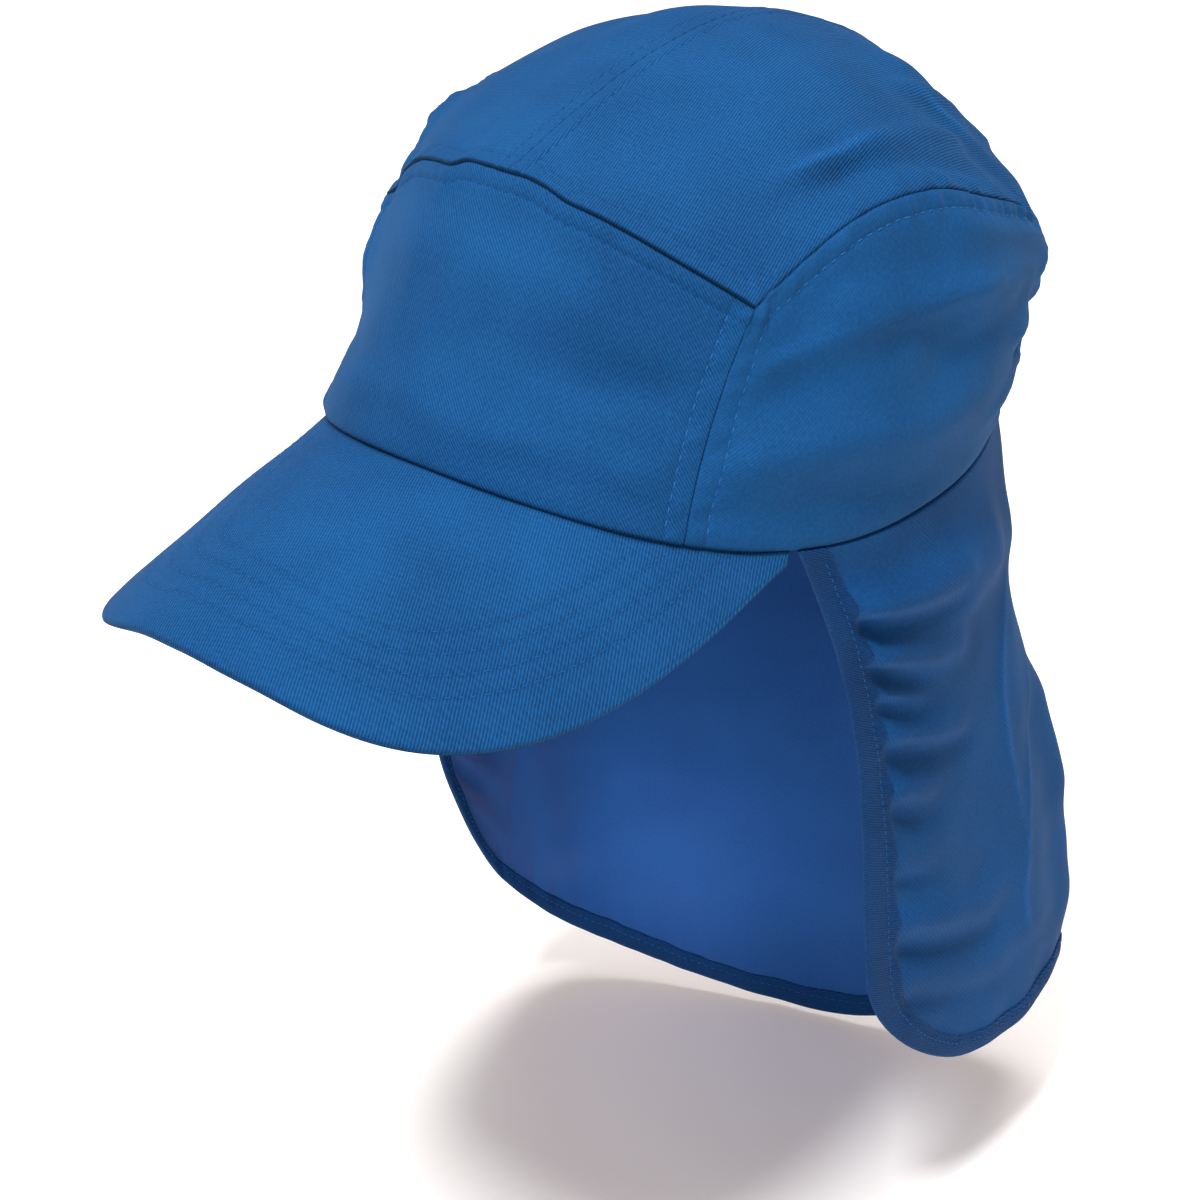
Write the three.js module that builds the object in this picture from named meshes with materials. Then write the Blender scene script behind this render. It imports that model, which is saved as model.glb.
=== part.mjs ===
// Legionnaire cap: a soft cotton cap with a curved peak in front and a neck flap behind.
// Millimetres, +Z up. The front faces -Y and the wearer's left is +X.
// The origin is the middle of the head opening, at the mean height of the rim.
import * as THREE from 'three';

// ---------- driving sizes (mm, degrees) ----------
const RIM = {
  halfLength: 98.3, // head opening, middle to front and to back
  halfWidth: 78.7, // middle to either side
  squareness: 2.24, // exponent of the plan outline, 2 is an ellipse
  tilt: 7.7, // the front stands this much above the back, halved
  dip: -9.2, // the sides hang lower than the front and back
  lean: 0.6,
};
const CLOTH = 1.5; // crown wall
const FLAP_CLOTH = 1.3;
const BINDING_THICK = 2.2;
const BINDING_PROUD = 0.45; // the binding stands this much outside the flap's face
const BINDING_WIDTH = 9;
const PEAK_THICK = 3;
const GAP = 0.3; // between neighbouring pieces
const SEAM = { frontSide: -43.87, flapFront: -23.58, topSide: 65.31 }; // places round the rim

const PEAK = {
  reach: 75.8, // rim to front edge, along the middle
  squareness: 2.697,
  slope: 0.29, // fall from the corners forward
  arch: 44.1, // rise of the middle above the corners
  crown: 1.6, // how much the plate bows between its two edges
  cornerTrim: 1.3, // degrees of rim left free at each corner
};

// the seam over the forehead: half width, then its place and drop towards the sides
const BROW = { halfWidth: 59.25, y: -63.53, ySide: 17.43, z: 80.21, zSide: 23.95 };
const FRONT_SEAM_BOW = { x: -1.87, y: -0.62 };
const PANEL_FULLNESS = { front: 0.4, side: 5.47 };

// ridge line of the crown (x = 0) and the seam between top and side panel,
// from the brow seam to the back of the rim
const CROWN_SECTIONS = [
  { ridgeY: -63.53, ridgeZ: 80.21, seamX: 59.25, seamY: -46.1, seamZ: 56.26 },
  { ridgeY: -37.6, ridgeZ: 89.1, seamX: 64.83, seamY: -14.72, seamZ: 69.8 },
  { ridgeY: -6.64, ridgeZ: 96.27, seamX: 68.91, seamY: 11.78, seamZ: 70.61 },
  { ridgeY: 27.5, ridgeZ: 97.65, seamX: 69.05, seamY: 36.73, seamZ: 61.97 },
  { ridgeY: 63.01, ridgeZ: 88.7, seamX: 67.06, seamY: 63.72, seamZ: 49.45 },
  { ridgeY: 91.77, ridgeZ: 71.5, seamX: 62.63, seamY: 83.4, seamZ: 30.76 },
  { ridgeY: 104.9, ridgeZ: 42.34, seamX: 48.08, seamY: 90.6, seamZ: 13.82 },
];
const SIDE_TOP_SECTIONS = 4; // the side panel's upper corner is this section of the table above
const TOP_FULLNESS = [
  { at: 0, bow: -5.04 },
  { at: 0.35, bow: 3.45 },
  { at: 0.7, bow: 2.86 },
  { at: 1, bow: 0 },
];

// neck flap: the hem at nine places from the wearer's left front edge round to the right one,
// with how far the cloth bellies out half way down, and how it sways above and below that
const FLAP_SECTIONS = [
  { hemX: 84.6, hemY: -5.3, hemZ: -195.4, bellyX: 1.3, bellyY: 7.8, swayX: 1.3, swayY: 2.8 },
  { hemX: 91.3, hemY: 57.7, hemZ: -214.9, bellyX: 2.6, bellyY: 6.6, swayX: -0.5, swayY: -1 },
  { hemX: 83.8, hemY: 103.6, hemZ: -214.2, bellyX: 2.4, bellyY: 3.8, swayX: -3.2, swayY: -3.5 },
  { hemX: 58.4, hemY: 102.8, hemZ: -248.9, bellyX: 0.9, bellyY: 1, swayX: -1.5, swayY: -1.7 },
  { hemX: 15.2, hemY: 87, hemZ: -268.6, bellyX: -0.2, bellyY: -0.4, swayX: -0.3, swayY: -0.4 },
  { hemX: -38.6, hemY: 68.3, hemZ: -264.5, bellyX: -1, bellyY: -0.7, swayX: 0.1, swayY: 0 },
  { hemX: -73.4, hemY: 47.7, hemZ: -250, bellyX: -1.9, bellyY: -0.5, swayX: 0.1, swayY: 0.1 },
  { hemX: -86.1, hemY: 27.2, hemZ: -227.4, bellyX: -2.8, bellyY: -0.1, swayX: 0.1, swayY: 0.2 },
  { hemX: -87.1, hemY: 3.3, hemZ: -193.3, bellyX: -3.4, bellyY: 0.1, swayX: 0.1, swayY: 0.4 },
];
const FLAP_WIDTH = 370; // along the rim, used to turn mm into shares of the width
const FLAP_CORNER = { across: 0.09, up: 0.22 }; // rounded lower corners, shares of width and drop

// folds: ridges (height > 0) and dents (height < 0) along a line between two places of a panel
const FLAP_FOLDS = [
  { name: 'back_left_upper', fromU: 0.22, fromV: 0.2, toU: 0.155, toV: 0.45, width: 9, height: 2.0 },
  { name: 'back_left_lower', fromU: 0.15, fromV: 0.45, toU: 0.158, toV: 0.78, width: 9, height: 1.8 },
  { name: 'back_left_inner', fromU: 0.26, fromV: 0.3, toU: 0.2, toV: 0.8, width: 11, height: -1.6 },
  { name: 'front_left_hollow', fromU: 0.07, fromV: 0.1, toU: 0.1, toV: 0.5, width: 14, height: -2.0 },
  { name: 'back_middle', fromU: 0.48, fromV: 0.15, toU: 0.52, toV: 0.9, width: 16, height: 2.0 },
  { name: 'back_right', fromU: 0.74, fromV: 0.1, toU: 0.72, toV: 0.9, width: 16, height: 2.0 },
  { name: 'front_right_hollow', fromU: 0.92, fromV: 0.1, toU: 0.88, toV: 0.5, width: 14, height: -1.6 },
];
const SIDE_FOLDS = [
  { name: 'rim_hollow', fromU: 0.1, fromV: 0.2, toU: 0.55, toV: 0.28, width: 0.16, height: -1.2 },
  { name: 'upper_swell', fromU: 0.25, fromV: 0.62, toU: 0.75, toV: 0.6, width: 0.22, height: 1.0 },
];

// mesh steps
const STEPS = { browHalf: 8, height: 12, crown: 28, peakAcross: 26, peakOut: 7, flapRows: 14, flapCorner: 5, flapMiddle: 28 };

// ---------- small helpers ----------
const rad = (d) => (d * Math.PI) / 180;
const mix = (a, b, t) => a.map((v, i) => v + (b[i] - v) * t);
const add = (a, b, k = 1) => a.map((v, i) => v + b[i] * k);
const sub = (a, b) => a.map((v, i) => v - b[i]);
const unit = (a) => {
  const l = Math.hypot(...a) || 1;
  return a.map((v) => v / l);
};
const cross = (a, b) => [a[1] * b[2] - a[2] * b[1], a[2] * b[0] - a[0] * b[2], a[0] * b[1] - a[1] * b[0]];
const sp = (c, e) => Math.sign(c) * Math.abs(c) ** e;
const steps = (n) => Array.from({ length: n + 1 }, (_, i) => i / n);
const flipX = (grid) => grid.map((row) => row.map(([x, y, z]) => [-x, y, z]));

// smooth curve through the rows of a table, xs are the places of its rows
function smooth(xs, rows, x) {
  const n = xs.length;
  const d = [];
  for (let i = 0; i < n - 1; i++) d.push(sub(rows[i + 1], rows[i]).map((v) => v / (xs[i + 1] - xs[i])));
  const m = rows.map((r, i) => {
    if (i === 0 || i === n - 1) return null;
    const h0 = xs[i] - xs[i - 1];
    const h1 = xs[i + 1] - xs[i];
    return d[i - 1].map((v, k) => (v * h1 + d[i][k] * h0) / (h0 + h1));
  });
  m[0] = n === 2 ? d[0] : d[0].map((v, k) => 1.5 * v - 0.5 * m[1][k]);
  m[n - 1] = n === 2 ? d[0] : d[n - 2].map((v, k) => 1.5 * v - 0.5 * m[n - 2][k]);
  let i = 0;
  while (i < n - 2 && x > xs[i + 1]) i++;
  const h = xs[i + 1] - xs[i];
  const t = (x - xs[i]) / h;
  const a = 2 * t ** 3 - 3 * t ** 2 + 1;
  const b = t ** 3 - 2 * t ** 2 + t;
  const c = -2 * t ** 3 + 3 * t ** 2;
  const e = t ** 3 - t ** 2;
  return rows[i].map((v, k) => a * v + b * h * m[i][k] + c * rows[i + 1][k] + e * h * m[i + 1][k]);
}

// height of the folds at a place, places given as (u, v) times the two scales
function folds(table, u, v, scaleU = 1, scaleV = 1) {
  let sum = 0;
  for (const f of table) {
    const ax = f.fromU * scaleU;
    const ay = f.fromV * scaleV;
    const dx = f.toU * scaleU - ax;
    const dy = f.toV * scaleV - ay;
    const px = u * scaleU - ax;
    const py = v * scaleV - ay;
    const t = Math.min(1, Math.max(0, (px * dx + py * dy) / (dx * dx + dy * dy)));
    const r = Math.hypot(px - t * dx, py - t * dy) / f.width;
    sum += f.height * Math.exp(-r * r);
  }
  return sum;
}

// ---------- curves shared by the pieces ----------
function rim(deg) {
  const t = rad(deg);
  const e = 2 / RIM.squareness;
  return [
    RIM.halfWidth * sp(Math.cos(t), e),
    RIM.halfLength * sp(Math.sin(t), e),
    -RIM.tilt * Math.sin(t) + RIM.dip * Math.cos(2 * t) + RIM.lean * Math.sin(3 * t),
  ];
}
const brow = (u) => [BROW.halfWidth * u, BROW.y + BROW.ySide * u * u, BROW.z - BROW.zSide * u * u];
function frontSeam(v) {
  const p = mix(rim(SEAM.frontSide), brow(1), v);
  return add(p, [FRONT_SEAM_BOW.x, FRONT_SEAM_BOW.y, 0], 4 * v * (1 - v));
}
const sectionPlaces = steps(CROWN_SECTIONS.length);
const ridgeRows = [...CROWN_SECTIONS.map((s) => [0, s.ridgeY, s.ridgeZ]), rim(90)];
const seamRows = [...CROWN_SECTIONS.map((s) => [s.seamX, s.seamY, s.seamZ]), rim(SEAM.topSide)];
const ridge = (q) => smooth(sectionPlaces, ridgeRows, q);
const topSeam = (q) => smooth(sectionPlaces, seamRows, q);

// the direction of the crown's wall thickness, the same field for all panels,
// level at the rim, so that neighbours stay side by side
const outward = ([x, y, z]) => unit([x / 85 ** 2, (y - 5) / 105 ** 2, Math.max(z - 18, 0) / 80 ** 2]);
const bulge = ([x, y, z], w) => unit([x * w[0], (y - 5) * w[1], (z - 25) * w[2]]);

// patch between four boundary curves: rows along v, columns along u
function patch(bottom, top, left, right, us, vs) {
  const b = us.map(bottom);
  const t = us.map(top);
  const l = vs.map(left);
  const r = vs.map(right);
  const nu = us.length - 1;
  return vs.map((v, j) =>
    us.map((u, i) =>
      [0, 1, 2].map(
        (k) =>
          (1 - v) * b[i][k] + v * t[i][k] + (1 - u) * l[j][k] + u * r[j][k]
          - ((1 - u) * (1 - v) * b[0][k] + u * (1 - v) * b[nu][k] + (1 - u) * v * t[0][k] + u * v * t[nu][k]),
      ),
    ),
  );
}

// draw the edges of a grid in by half a gap, so that neighbouring panels don't touch
function drawIn(grid, { first, last, left, right }) {
  const g = grid.map((row) => row.map((p) => [...p]));
  const n = g.length - 1;
  const m = g[0].length - 1;
  const half = 0.75 * GAP;
  const pull = (p, q) => add(p, unit(sub(q, p)), half);
  for (let j = 0; j <= n; j++) {
    if (left) g[j][0] = pull(g[j][0], grid[j][1]);
    if (right) g[j][m] = pull(g[j][m], grid[j][m - 1]);
  }
  for (let i = 0; i <= m; i++) {
    if (first) g[0][i] = add(g[0][i], unit(sub(grid[1][i], grid[0][i])), half);
    if (last) g[n][i] = add(g[n][i], unit(sub(grid[n - 1][i], grid[n][i])), half);
  }
  return g;
}

// ---------- closed solids from two facing grids ----------
function shell(outer, inner) {
  const rows = outer.length;
  const cols = outer[0].length;
  const positions = [...outer.flat(), ...inner.flat()].flat();
  const at = (side, j, i) => side * rows * cols + j * cols + i;
  const faces = [];
  const quad = (a, b, c, d) => faces.push([a, b, c], [a, c, d]);
  for (let j = 0; j < rows - 1; j++) {
    for (let i = 0; i < cols - 1; i++) {
      quad(at(0, j, i), at(0, j, i + 1), at(0, j + 1, i + 1), at(0, j + 1, i));
      quad(at(1, j, i), at(1, j + 1, i), at(1, j + 1, i + 1), at(1, j, i + 1));
    }
  }
  const loop = [];
  for (let i = 0; i < cols - 1; i++) loop.push([0, i]);
  for (let j = 0; j < rows - 1; j++) loop.push([j, cols - 1]);
  for (let i = cols - 1; i > 0; i--) loop.push([rows - 1, i]);
  for (let j = rows - 1; j > 0; j--) loop.push([j, 0]);
  loop.forEach(([j, i], k) => {
    const [j2, i2] = loop[(k + 1) % loop.length];
    quad(at(0, j, i), at(1, j, i), at(1, j2, i2), at(0, j2, i2));
  });
  const p = (i) => positions.slice(3 * i, 3 * i + 3);
  let volume = 0;
  for (const [a, b, c] of faces) {
    const x = cross(p(b), p(c));
    const q = p(a);
    volume += (q[0] * x[0] + q[1] * x[1] + q[2] * x[2]) / 6;
  }
  const index = (volume > 0 ? faces : faces.map(([a, b, c]) => [a, c, b])).flat();
  const geometry = new THREE.BufferGeometry();
  geometry.setAttribute('position', new THREE.Float32BufferAttribute(positions, 3));
  geometry.setIndex(index);
  geometry.computeVertexNormals();
  return geometry;
}
const wall = (grid) => shell(grid, grid.map((row) => row.map((p) => add(p, outward(p), -CLOTH))));

// ---------- crown ----------
const spanBrow = steps(2 * STEPS.browHalf);
const height = steps(STEPS.height);
function frontPanel() {
  const g = patch(
    (u) => rim(-90 + (90 + SEAM.frontSide) * (2 * u - 1)),
    (u) => brow(2 * u - 1),
    (v) => {
      const [x, y, z] = frontSeam(v);
      return [-x, y, z];
    },
    frontSeam,
    spanBrow,
    height,
  );
  return g.map((row, j) =>
    row.map((p, i) => {
      const v = height[j];
      const u = 2 * spanBrow[i] - 1;
      return add(p, [0, -1, 0.15], PANEL_FULLNESS.front * 4 * v * (1 - v) * (1 - u * u));
    }),
  );
}
function topPanel() {
  const across = steps(STEPS.browHalf);
  const along = steps(STEPS.crown);
  const g = patch(brow, (u) => rim(90 + (SEAM.topSide - 90) * u), ridge, topSeam, across, along);
  return g.map((row, j) =>
    row.map((p, i) => {
      const q = along[j];
      const u = across[i];
      const [bow] = smooth(TOP_FULLNESS.map((r) => r.at), TOP_FULLNESS.map((r) => [r.bow]), q);
      return add(p, bulge(p, [1, 1, 1]), bow * Math.min(1, 6 * q) * 4 * u * (1 - u));
    }),
  );
}
function sidePanel() {
  const k = SIDE_TOP_SECTIONS / CROWN_SECTIONS.length;
  const across = steps(16);
  const g = patch(
    (u) => rim(SEAM.frontSide + (SEAM.topSide - SEAM.frontSide) * u),
    (u) => topSeam(u * k),
    frontSeam,
    (v) => topSeam(1 - (1 - k) * v),
    across,
    height,
  );
  return g.map((row, j) =>
    row.map((p, i) => {
      const u = across[i];
      const v = height[j];
      const inside = 4 * u * (1 - u) * (4 * v * (1 - v));
      return add(p, bulge(p, [1.6, 1, 0.4]), (PANEL_FULLNESS.side + folds(SIDE_FOLDS, u, v)) * inside);
    }),
  );
}

// ---------- peak ----------
// outer edge seen from above, by the angle round its middle; it rises towards the middle
function peakEdge(angle) {
  const [cx, cy, cz] = rim(SEAM.flapFront);
  const depth = RIM.halfLength + cy + PEAK.reach;
  const c = Math.cos(angle);
  const s = Math.sin(angle);
  const r = (Math.abs(c) ** PEAK.squareness + Math.abs(s) ** PEAK.squareness) ** (-1 / PEAK.squareness);
  const x = cx * r * c;
  const y = cy - depth * r * s;
  return [x, y, cz - PEAK.slope * (cy - y) + PEAK.arch * (1 - (x / cx) ** 2)];
}
function peakPoint(e, w) {
  const first = SEAM.flapFront - PEAK.cornerTrim;
  const t = first + (-180 - 2 * first) * e;
  const r = rim(t);
  const plan = unit([r[0], r[1], 0]);
  const inner = add(add(r, plan, -CLOTH), [0, 0, -GAP]);
  const lead = 0.035;
  const edge = peakEdge(lead + (Math.PI - 2 * lead) * e);
  const p = mix(inner, edge, w);
  p[2] += PEAK.crown * 4 * w * (1 - w) * Math.min(1, 6 * e, 6 * (1 - e));
  return p;
}
function peak() {
  const es = steps(STEPS.peakAcross);
  const ws = steps(STEPS.peakOut);
  const d = 1e-3;
  const top = ws.map((w) => es.map((e) => peakPoint(e, w)));
  const under = ws.map((w) =>
    es.map((e) => {
      const a = sub(peakPoint(Math.min(1, e + d), w), peakPoint(Math.max(0, e - d), w));
      const b = sub(peakPoint(e, Math.min(1, w + d)), peakPoint(e, Math.max(0, w - d)));
      let n = unit(cross(a, b));
      if (n[2] < 0) n = n.map((v) => -v);
      const thick = PEAK_THICK * (0.5 + 0.5 * Math.min(1, 10 * e, 10 * (1 - e)));
      return add(peakPoint(e, w), n, -thick);
    }),
  );
  return shell(top, under);
}

// ---------- neck flap ----------
const flapPlaces = steps(FLAP_SECTIONS.length - 1);
const hemRows = FLAP_SECTIONS.map((s) => [s.hemX, s.hemY, s.hemZ]);
const hangRows = FLAP_SECTIONS.map((s) => [s.bellyX, s.bellyY, s.swayX, s.swayY]);
const drop = (s) => Math.hypot(...sub(smooth(flapPlaces, hemRows, s), rim(SEAM.flapFront + (180 - 2 * SEAM.flapFront) * s)));
// s runs round the rim from the left front edge to the right one, v from the rim to the hem
function flapSheet(s, v) {
  const top = rim(SEAM.flapFront + (180 - 2 * SEAM.flapFront) * s);
  const hem = smooth(flapPlaces, hemRows, s);
  const [bx, by, wx, wy] = smooth(flapPlaces, hangRows, s);
  const belly = 4 * v * (1 - v);
  const sway = Math.sin(2 * Math.PI * v);
  const p = mix(top, hem, v);
  return [p[0] + bx * belly + wx * sway, p[1] + by * belly + wy * sway, p[2] - GAP];
}
function flapOut(s, v) {
  const d = 2e-3;
  const a = sub(flapSheet(Math.min(1, s + d), v), flapSheet(Math.max(0, s - d), v));
  return unit([a[1], -a[0], 0]);
}
function flapPoint(s, v, depth = 0) {
  const hang = Math.min(1, 6 * v);
  const rise = folds(FLAP_FOLDS, s, v, FLAP_WIDTH, drop(s)) * hang;
  return add(flapSheet(s, v), flapOut(s, v), rise - depth);
}
// stations along the flap's lower outline, a distance in from its edge
const corner = steps(STEPS.flapCorner).map((k) => (k * Math.PI) / 2);
function hemStations(inset) {
  const { across, up } = FLAP_CORNER;
  const ds = inset / FLAP_WIDTH;
  const dv = (s) => inset / drop(s);
  const left = corner.map((a) => {
    const s = across - (across - ds) * Math.cos(a);
    return [s, 1 - up + (up - dv(s)) * Math.sin(a)];
  });
  const right = corner.map((a) => {
    const s = 1 - across + (across - ds) * Math.sin(a);
    return [s, 1 - up + (up - dv(s)) * Math.cos(a)];
  });
  const middle = steps(STEPS.flapMiddle)
    .slice(1, -1)
    .map((k) => {
      const s = across + (1 - 2 * across) * k;
      return [s, 1 - dv(s)];
    });
  return [...left, ...middle, ...right];
}
function neckFlap() {
  const rows = steps(STEPS.flapRows);
  const columns = hemStations(BINDING_WIDTH);
  const face = (depth) => rows.map((r) => columns.map(([s, v]) => flapPoint(s, v * r, depth)));
  return shell(face(0), face(FLAP_CLOTH));
}
function flapBinding() {
  const edge = steps(STEPS.flapRows).slice(0, -1);
  const path = (inset) => {
    const hem = hemStations(inset);
    const down = edge.map((r) => [hem[0][0], hem[0][1] * r]);
    const last = hem[hem.length - 1];
    const up = edge.map((r) => [last[0], last[1] * r]).reverse();
    return [...down, ...hem, ...up];
  };
  const inner = BINDING_WIDTH - 1.6 * GAP;
  const lines = [path(0), path(inner / 2), path(inner)];
  const face = (depth) => lines.map((line) => line.map(([s, v]) => flapPoint(s, v, depth)));
  return shell(face(-BINDING_PROUD), face(BINDING_THICK - BINDING_PROUD));
}

// ---------- assembly ----------
const twill = { color: 0x1d4f93, roughness: 0.85, metalness: 0 };
const cap = new THREE.Group();
function piece(name, geometry, look = twill) {
  const mesh = new THREE.Mesh(geometry, new THREE.MeshStandardMaterial(look));
  mesh.name = name;
  cap.add(mesh);
}
const top = drawIn(topPanel(), { first: true, left: true, right: true });
for (const row of top) row[0][0] = 0.75 * GAP;
const side = drawIn(sidePanel(), { last: true, left: true, right: true });
piece('front_panel', wall(drawIn(frontPanel(), { last: true, left: true, right: true })));
piece('top_panel_left', wall(top));
piece('top_panel_right', wall(flipX(top)));
piece('side_panel_left', wall(side));
piece('side_panel_right', wall(flipX(side)));
piece('peak', peak(), { color: 0x2259a6, roughness: 0.85, metalness: 0 });
piece('neck_flap', neckFlap());
piece('flap_binding', flapBinding(), { color: 0x1b4685, roughness: 0.85, metalness: 0 });

export default cap;
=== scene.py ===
import math
import bpy
import numpy as np
from mathutils import Matrix, Vector


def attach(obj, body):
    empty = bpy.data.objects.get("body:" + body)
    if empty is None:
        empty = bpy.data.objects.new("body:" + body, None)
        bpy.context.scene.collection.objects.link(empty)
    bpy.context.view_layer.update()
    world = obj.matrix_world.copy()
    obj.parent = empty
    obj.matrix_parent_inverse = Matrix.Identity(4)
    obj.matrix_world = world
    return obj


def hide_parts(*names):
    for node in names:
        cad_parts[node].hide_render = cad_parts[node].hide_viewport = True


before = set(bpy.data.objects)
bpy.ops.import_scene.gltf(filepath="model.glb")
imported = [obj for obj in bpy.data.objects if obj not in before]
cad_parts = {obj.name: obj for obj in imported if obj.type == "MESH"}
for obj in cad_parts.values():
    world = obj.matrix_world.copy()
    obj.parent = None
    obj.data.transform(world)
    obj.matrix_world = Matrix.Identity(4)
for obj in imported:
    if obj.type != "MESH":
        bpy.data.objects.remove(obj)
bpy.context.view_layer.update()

# ------------------------------------------------------------------ sizes, mm and degrees
RIM = dict(half_length=98.3, half_width=78.7, squareness=2.24, tilt=7.7, dip=-9.2, lean=0.6)
FRONT_SIDE, FLAP_FRONT, TOP_SIDE = -43.87, -23.58, 65.31  # seams, by their place round the rim
BROW = dict(half_width=59.25, y=-63.53, y_side=17.43, z=80.21, z_side=23.95)
#                       u, mm up the cloth
BROW_WANDER = np.array([(-1, 0), (-0.9, 0.9), (-0.75, 2.2), (-0.65, 2.9), (-0.5, 1.5), (-0.4, 0.2), (-0.33, -0.5), (-0.26, 0.7), (-0.12, 0.4), (0, 0),
                        (0.1, 0.1), (0.2, -0.6), (0.3, -1.8), (0.38, -1.7), (0.5, -1.6), (0.75, -1.3), (0.9, -0.6), (1, 0)])
FRONT_SEAM_BOW = (-1.87, -0.62, 0.0)
FRONT_FULL, SIDE_FULL = 0.4, 5.47
#            ridge y,  z,     seam x,  y,      z
CROWN = np.array([
    (-63.53, 80.21, 59.25, -46.10, 56.26),
    (-37.60, 89.10, 64.83, -14.72, 69.80),
    (-6.64, 96.27, 68.91, 11.78, 70.61),
    (27.50, 97.65, 69.05, 36.73, 61.97),
    (63.01, 88.70, 67.06, 63.72, 49.45),
    (91.77, 71.50, 62.63, 83.40, 30.76),
    (104.90, 42.34, 48.08, 90.60, 13.82),
])
SIDE_TOP = 4 / 7
TOP_FULL = np.array([(0, -5.04), (0.35, 3.45), (0.7, 2.86), (1, 0)])
PEAK = dict(reach=75.8, squareness=2.697, slope=0.29, arch=44.1, crown=1.6, trim=1.3, thick=3.0)
#            hem x,  y,     z,      belly x, y,  sway x, y
FLAP = np.array([
    (84.6, -5.3, -195.4, 1.3, 7.8, 1.3, 2.8),
    (91.3, 57.7, -214.9, 2.6, 6.6, -0.5, -1.0),
    (83.8, 103.6, -214.2, 2.4, 3.8, -3.2, -3.5),
    (58.4, 102.8, -248.9, 0.9, 1.0, -1.5, -1.7),
    (15.2, 87.0, -268.6, -0.2, -0.4, -0.3, -0.4),
    (-38.6, 68.3, -264.5, -1.0, -0.7, 0.1, 0.0),
    (-73.4, 47.7, -250.0, -1.9, -0.5, 0.1, 0.1),
    (-86.1, 27.2, -227.4, -2.8, -0.1, 0.1, 0.2),
    (-87.1, 3.3, -193.3, -3.4, 0.1, 0.1, 0.4),
])
FLAP_WIDTH, CORNER_ACROSS, CORNER_UP = 370.0, 0.09, 0.22
BAND = 9.0  # width of the flap's binding


# ------------------------------------------------------------------ curves and surfaces
def spow(c, e):
    return np.sign(c) * np.abs(c) ** e


def unit(a):
    return a / np.maximum(np.linalg.norm(a, axis=-1, keepdims=True), 1e-12)


def smooth(xs, rows, x):
    """The curve through a table's rows, at the places x."""
    xs, rows, x = np.asarray(xs, float), np.asarray(rows, float), np.asarray(x, float)
    shape, x = x.shape, x.ravel()
    d = (rows[1:] - rows[:-1]) / (xs[1:] - xs[:-1])[:, None]
    h = (xs[1:] - xs[:-1])[:, None]
    m = np.empty_like(rows)
    m[1:-1] = (d[:-1] * h[1:] + d[1:] * h[:-1]) / (h[1:] + h[:-1])
    m[0], m[-1] = 1.5 * d[0] - 0.5 * m[1], 1.5 * d[-1] - 0.5 * m[-2]
    i = np.clip(np.searchsorted(xs, x) - 1, 0, len(xs) - 2)
    hh = (xs[i + 1] - xs[i])[:, None]
    t = (x - xs[i])[:, None] / hh
    y = ((2 * t**3 - 3 * t**2 + 1) * rows[i] + (t**3 - 2 * t**2 + t) * hh * m[i]
         + (3 * t**2 - 2 * t**3) * rows[i + 1] + (t**3 - t**2) * hh * m[i + 1])
    return y.reshape(shape + (rows.shape[1],))


def rim(deg):
    t = np.radians(deg)
    e = 2 / RIM["squareness"]
    return np.stack([
        RIM["half_width"] * spow(np.cos(t), e),
        RIM["half_length"] * spow(np.sin(t), e),
        -RIM["tilt"] * np.sin(t) + RIM["dip"] * np.cos(2 * t) + RIM["lean"] * np.sin(3 * t),
    ], -1)


def brow(u):
    """The seam between the front and top panels, and how far it wanders up or down the cloth."""
    u = np.asarray(u, float)
    shift = smooth(BROW_WANDER[:, 0], BROW_WANDER[:, 1:], np.clip(u, -1, 1))[..., 0]
    return np.stack([
        BROW["half_width"] * u,
        BROW["y"] + BROW["y_side"] * u * u + 0.78 * shift,
        BROW["z"] - BROW["z_side"] * u * u + 0.62 * shift,
    ], -1)


def front_seam(v):
    v = np.asarray(v, float)[..., None]
    return rim(FRONT_SIDE) * (1 - v) + brow(1.0) * v + np.array(FRONT_SEAM_BOW) * (4 * v * (1 - v))


PLACES = np.linspace(0, 1, len(CROWN) + 1)
RIDGE = np.concatenate([np.insert(CROWN[:, :2], 0, 0, axis=1), rim(90)[None]])
SEAM = np.concatenate([CROWN[:, 2:], rim(TOP_SIDE)[None]])


def patch(bottom, top, left, right, u, v):
    """A surface between four boundary curves."""
    U, V = u[..., None], v[..., None]
    zero, one = np.zeros_like(u), np.ones_like(u)
    return ((1 - V) * bottom(u) + V * top(u) + (1 - U) * left(v) + U * right(v)
            - ((1 - U) * (1 - V) * bottom(zero) + U * (1 - V) * bottom(one)
               + (1 - U) * V * top(zero) + U * V * top(one)))


def bulge(p, w):
    return unit((p - np.array([0, 5, 25.0])) * np.array(w))


def outward(p):
    """The direction of the crown's wall thickness."""
    return unit(np.stack([p[..., 0] / 85**2, (p[..., 1] - 5) / 105**2, np.maximum(p[..., 2] - 18, 0) / 80**2], -1))


def front_panel(u, v):
    mirror = np.array([-1, 1, 1])
    p = patch(lambda a: rim(-90 + (90 + FRONT_SIDE) * (2 * a - 1)), lambda a: brow(2 * a - 1),
              lambda a: front_seam(a) * mirror, front_seam, u, v)
    w = 2 * u - 1
    return p + np.array([0, -1, 0.15]) * (FRONT_FULL * 4 * v * (1 - v) * (1 - w * w))[..., None]


def top_panel(u, v, hand=1):
    p = patch(lambda a: brow(hand * a) * np.array([hand, 1, 1]), lambda a: rim(90 + (TOP_SIDE - 90) * a), lambda a: smooth(PLACES, RIDGE, a), lambda a: smooth(PLACES, SEAM, a), u, v)
    bow = smooth(TOP_FULL[:, 0], TOP_FULL[:, 1:], v)[..., 0]
    return p + bulge(p, (1, 1, 1)) * (bow * np.minimum(1, 6 * v) * 4 * u * (1 - u))[..., None]


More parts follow.
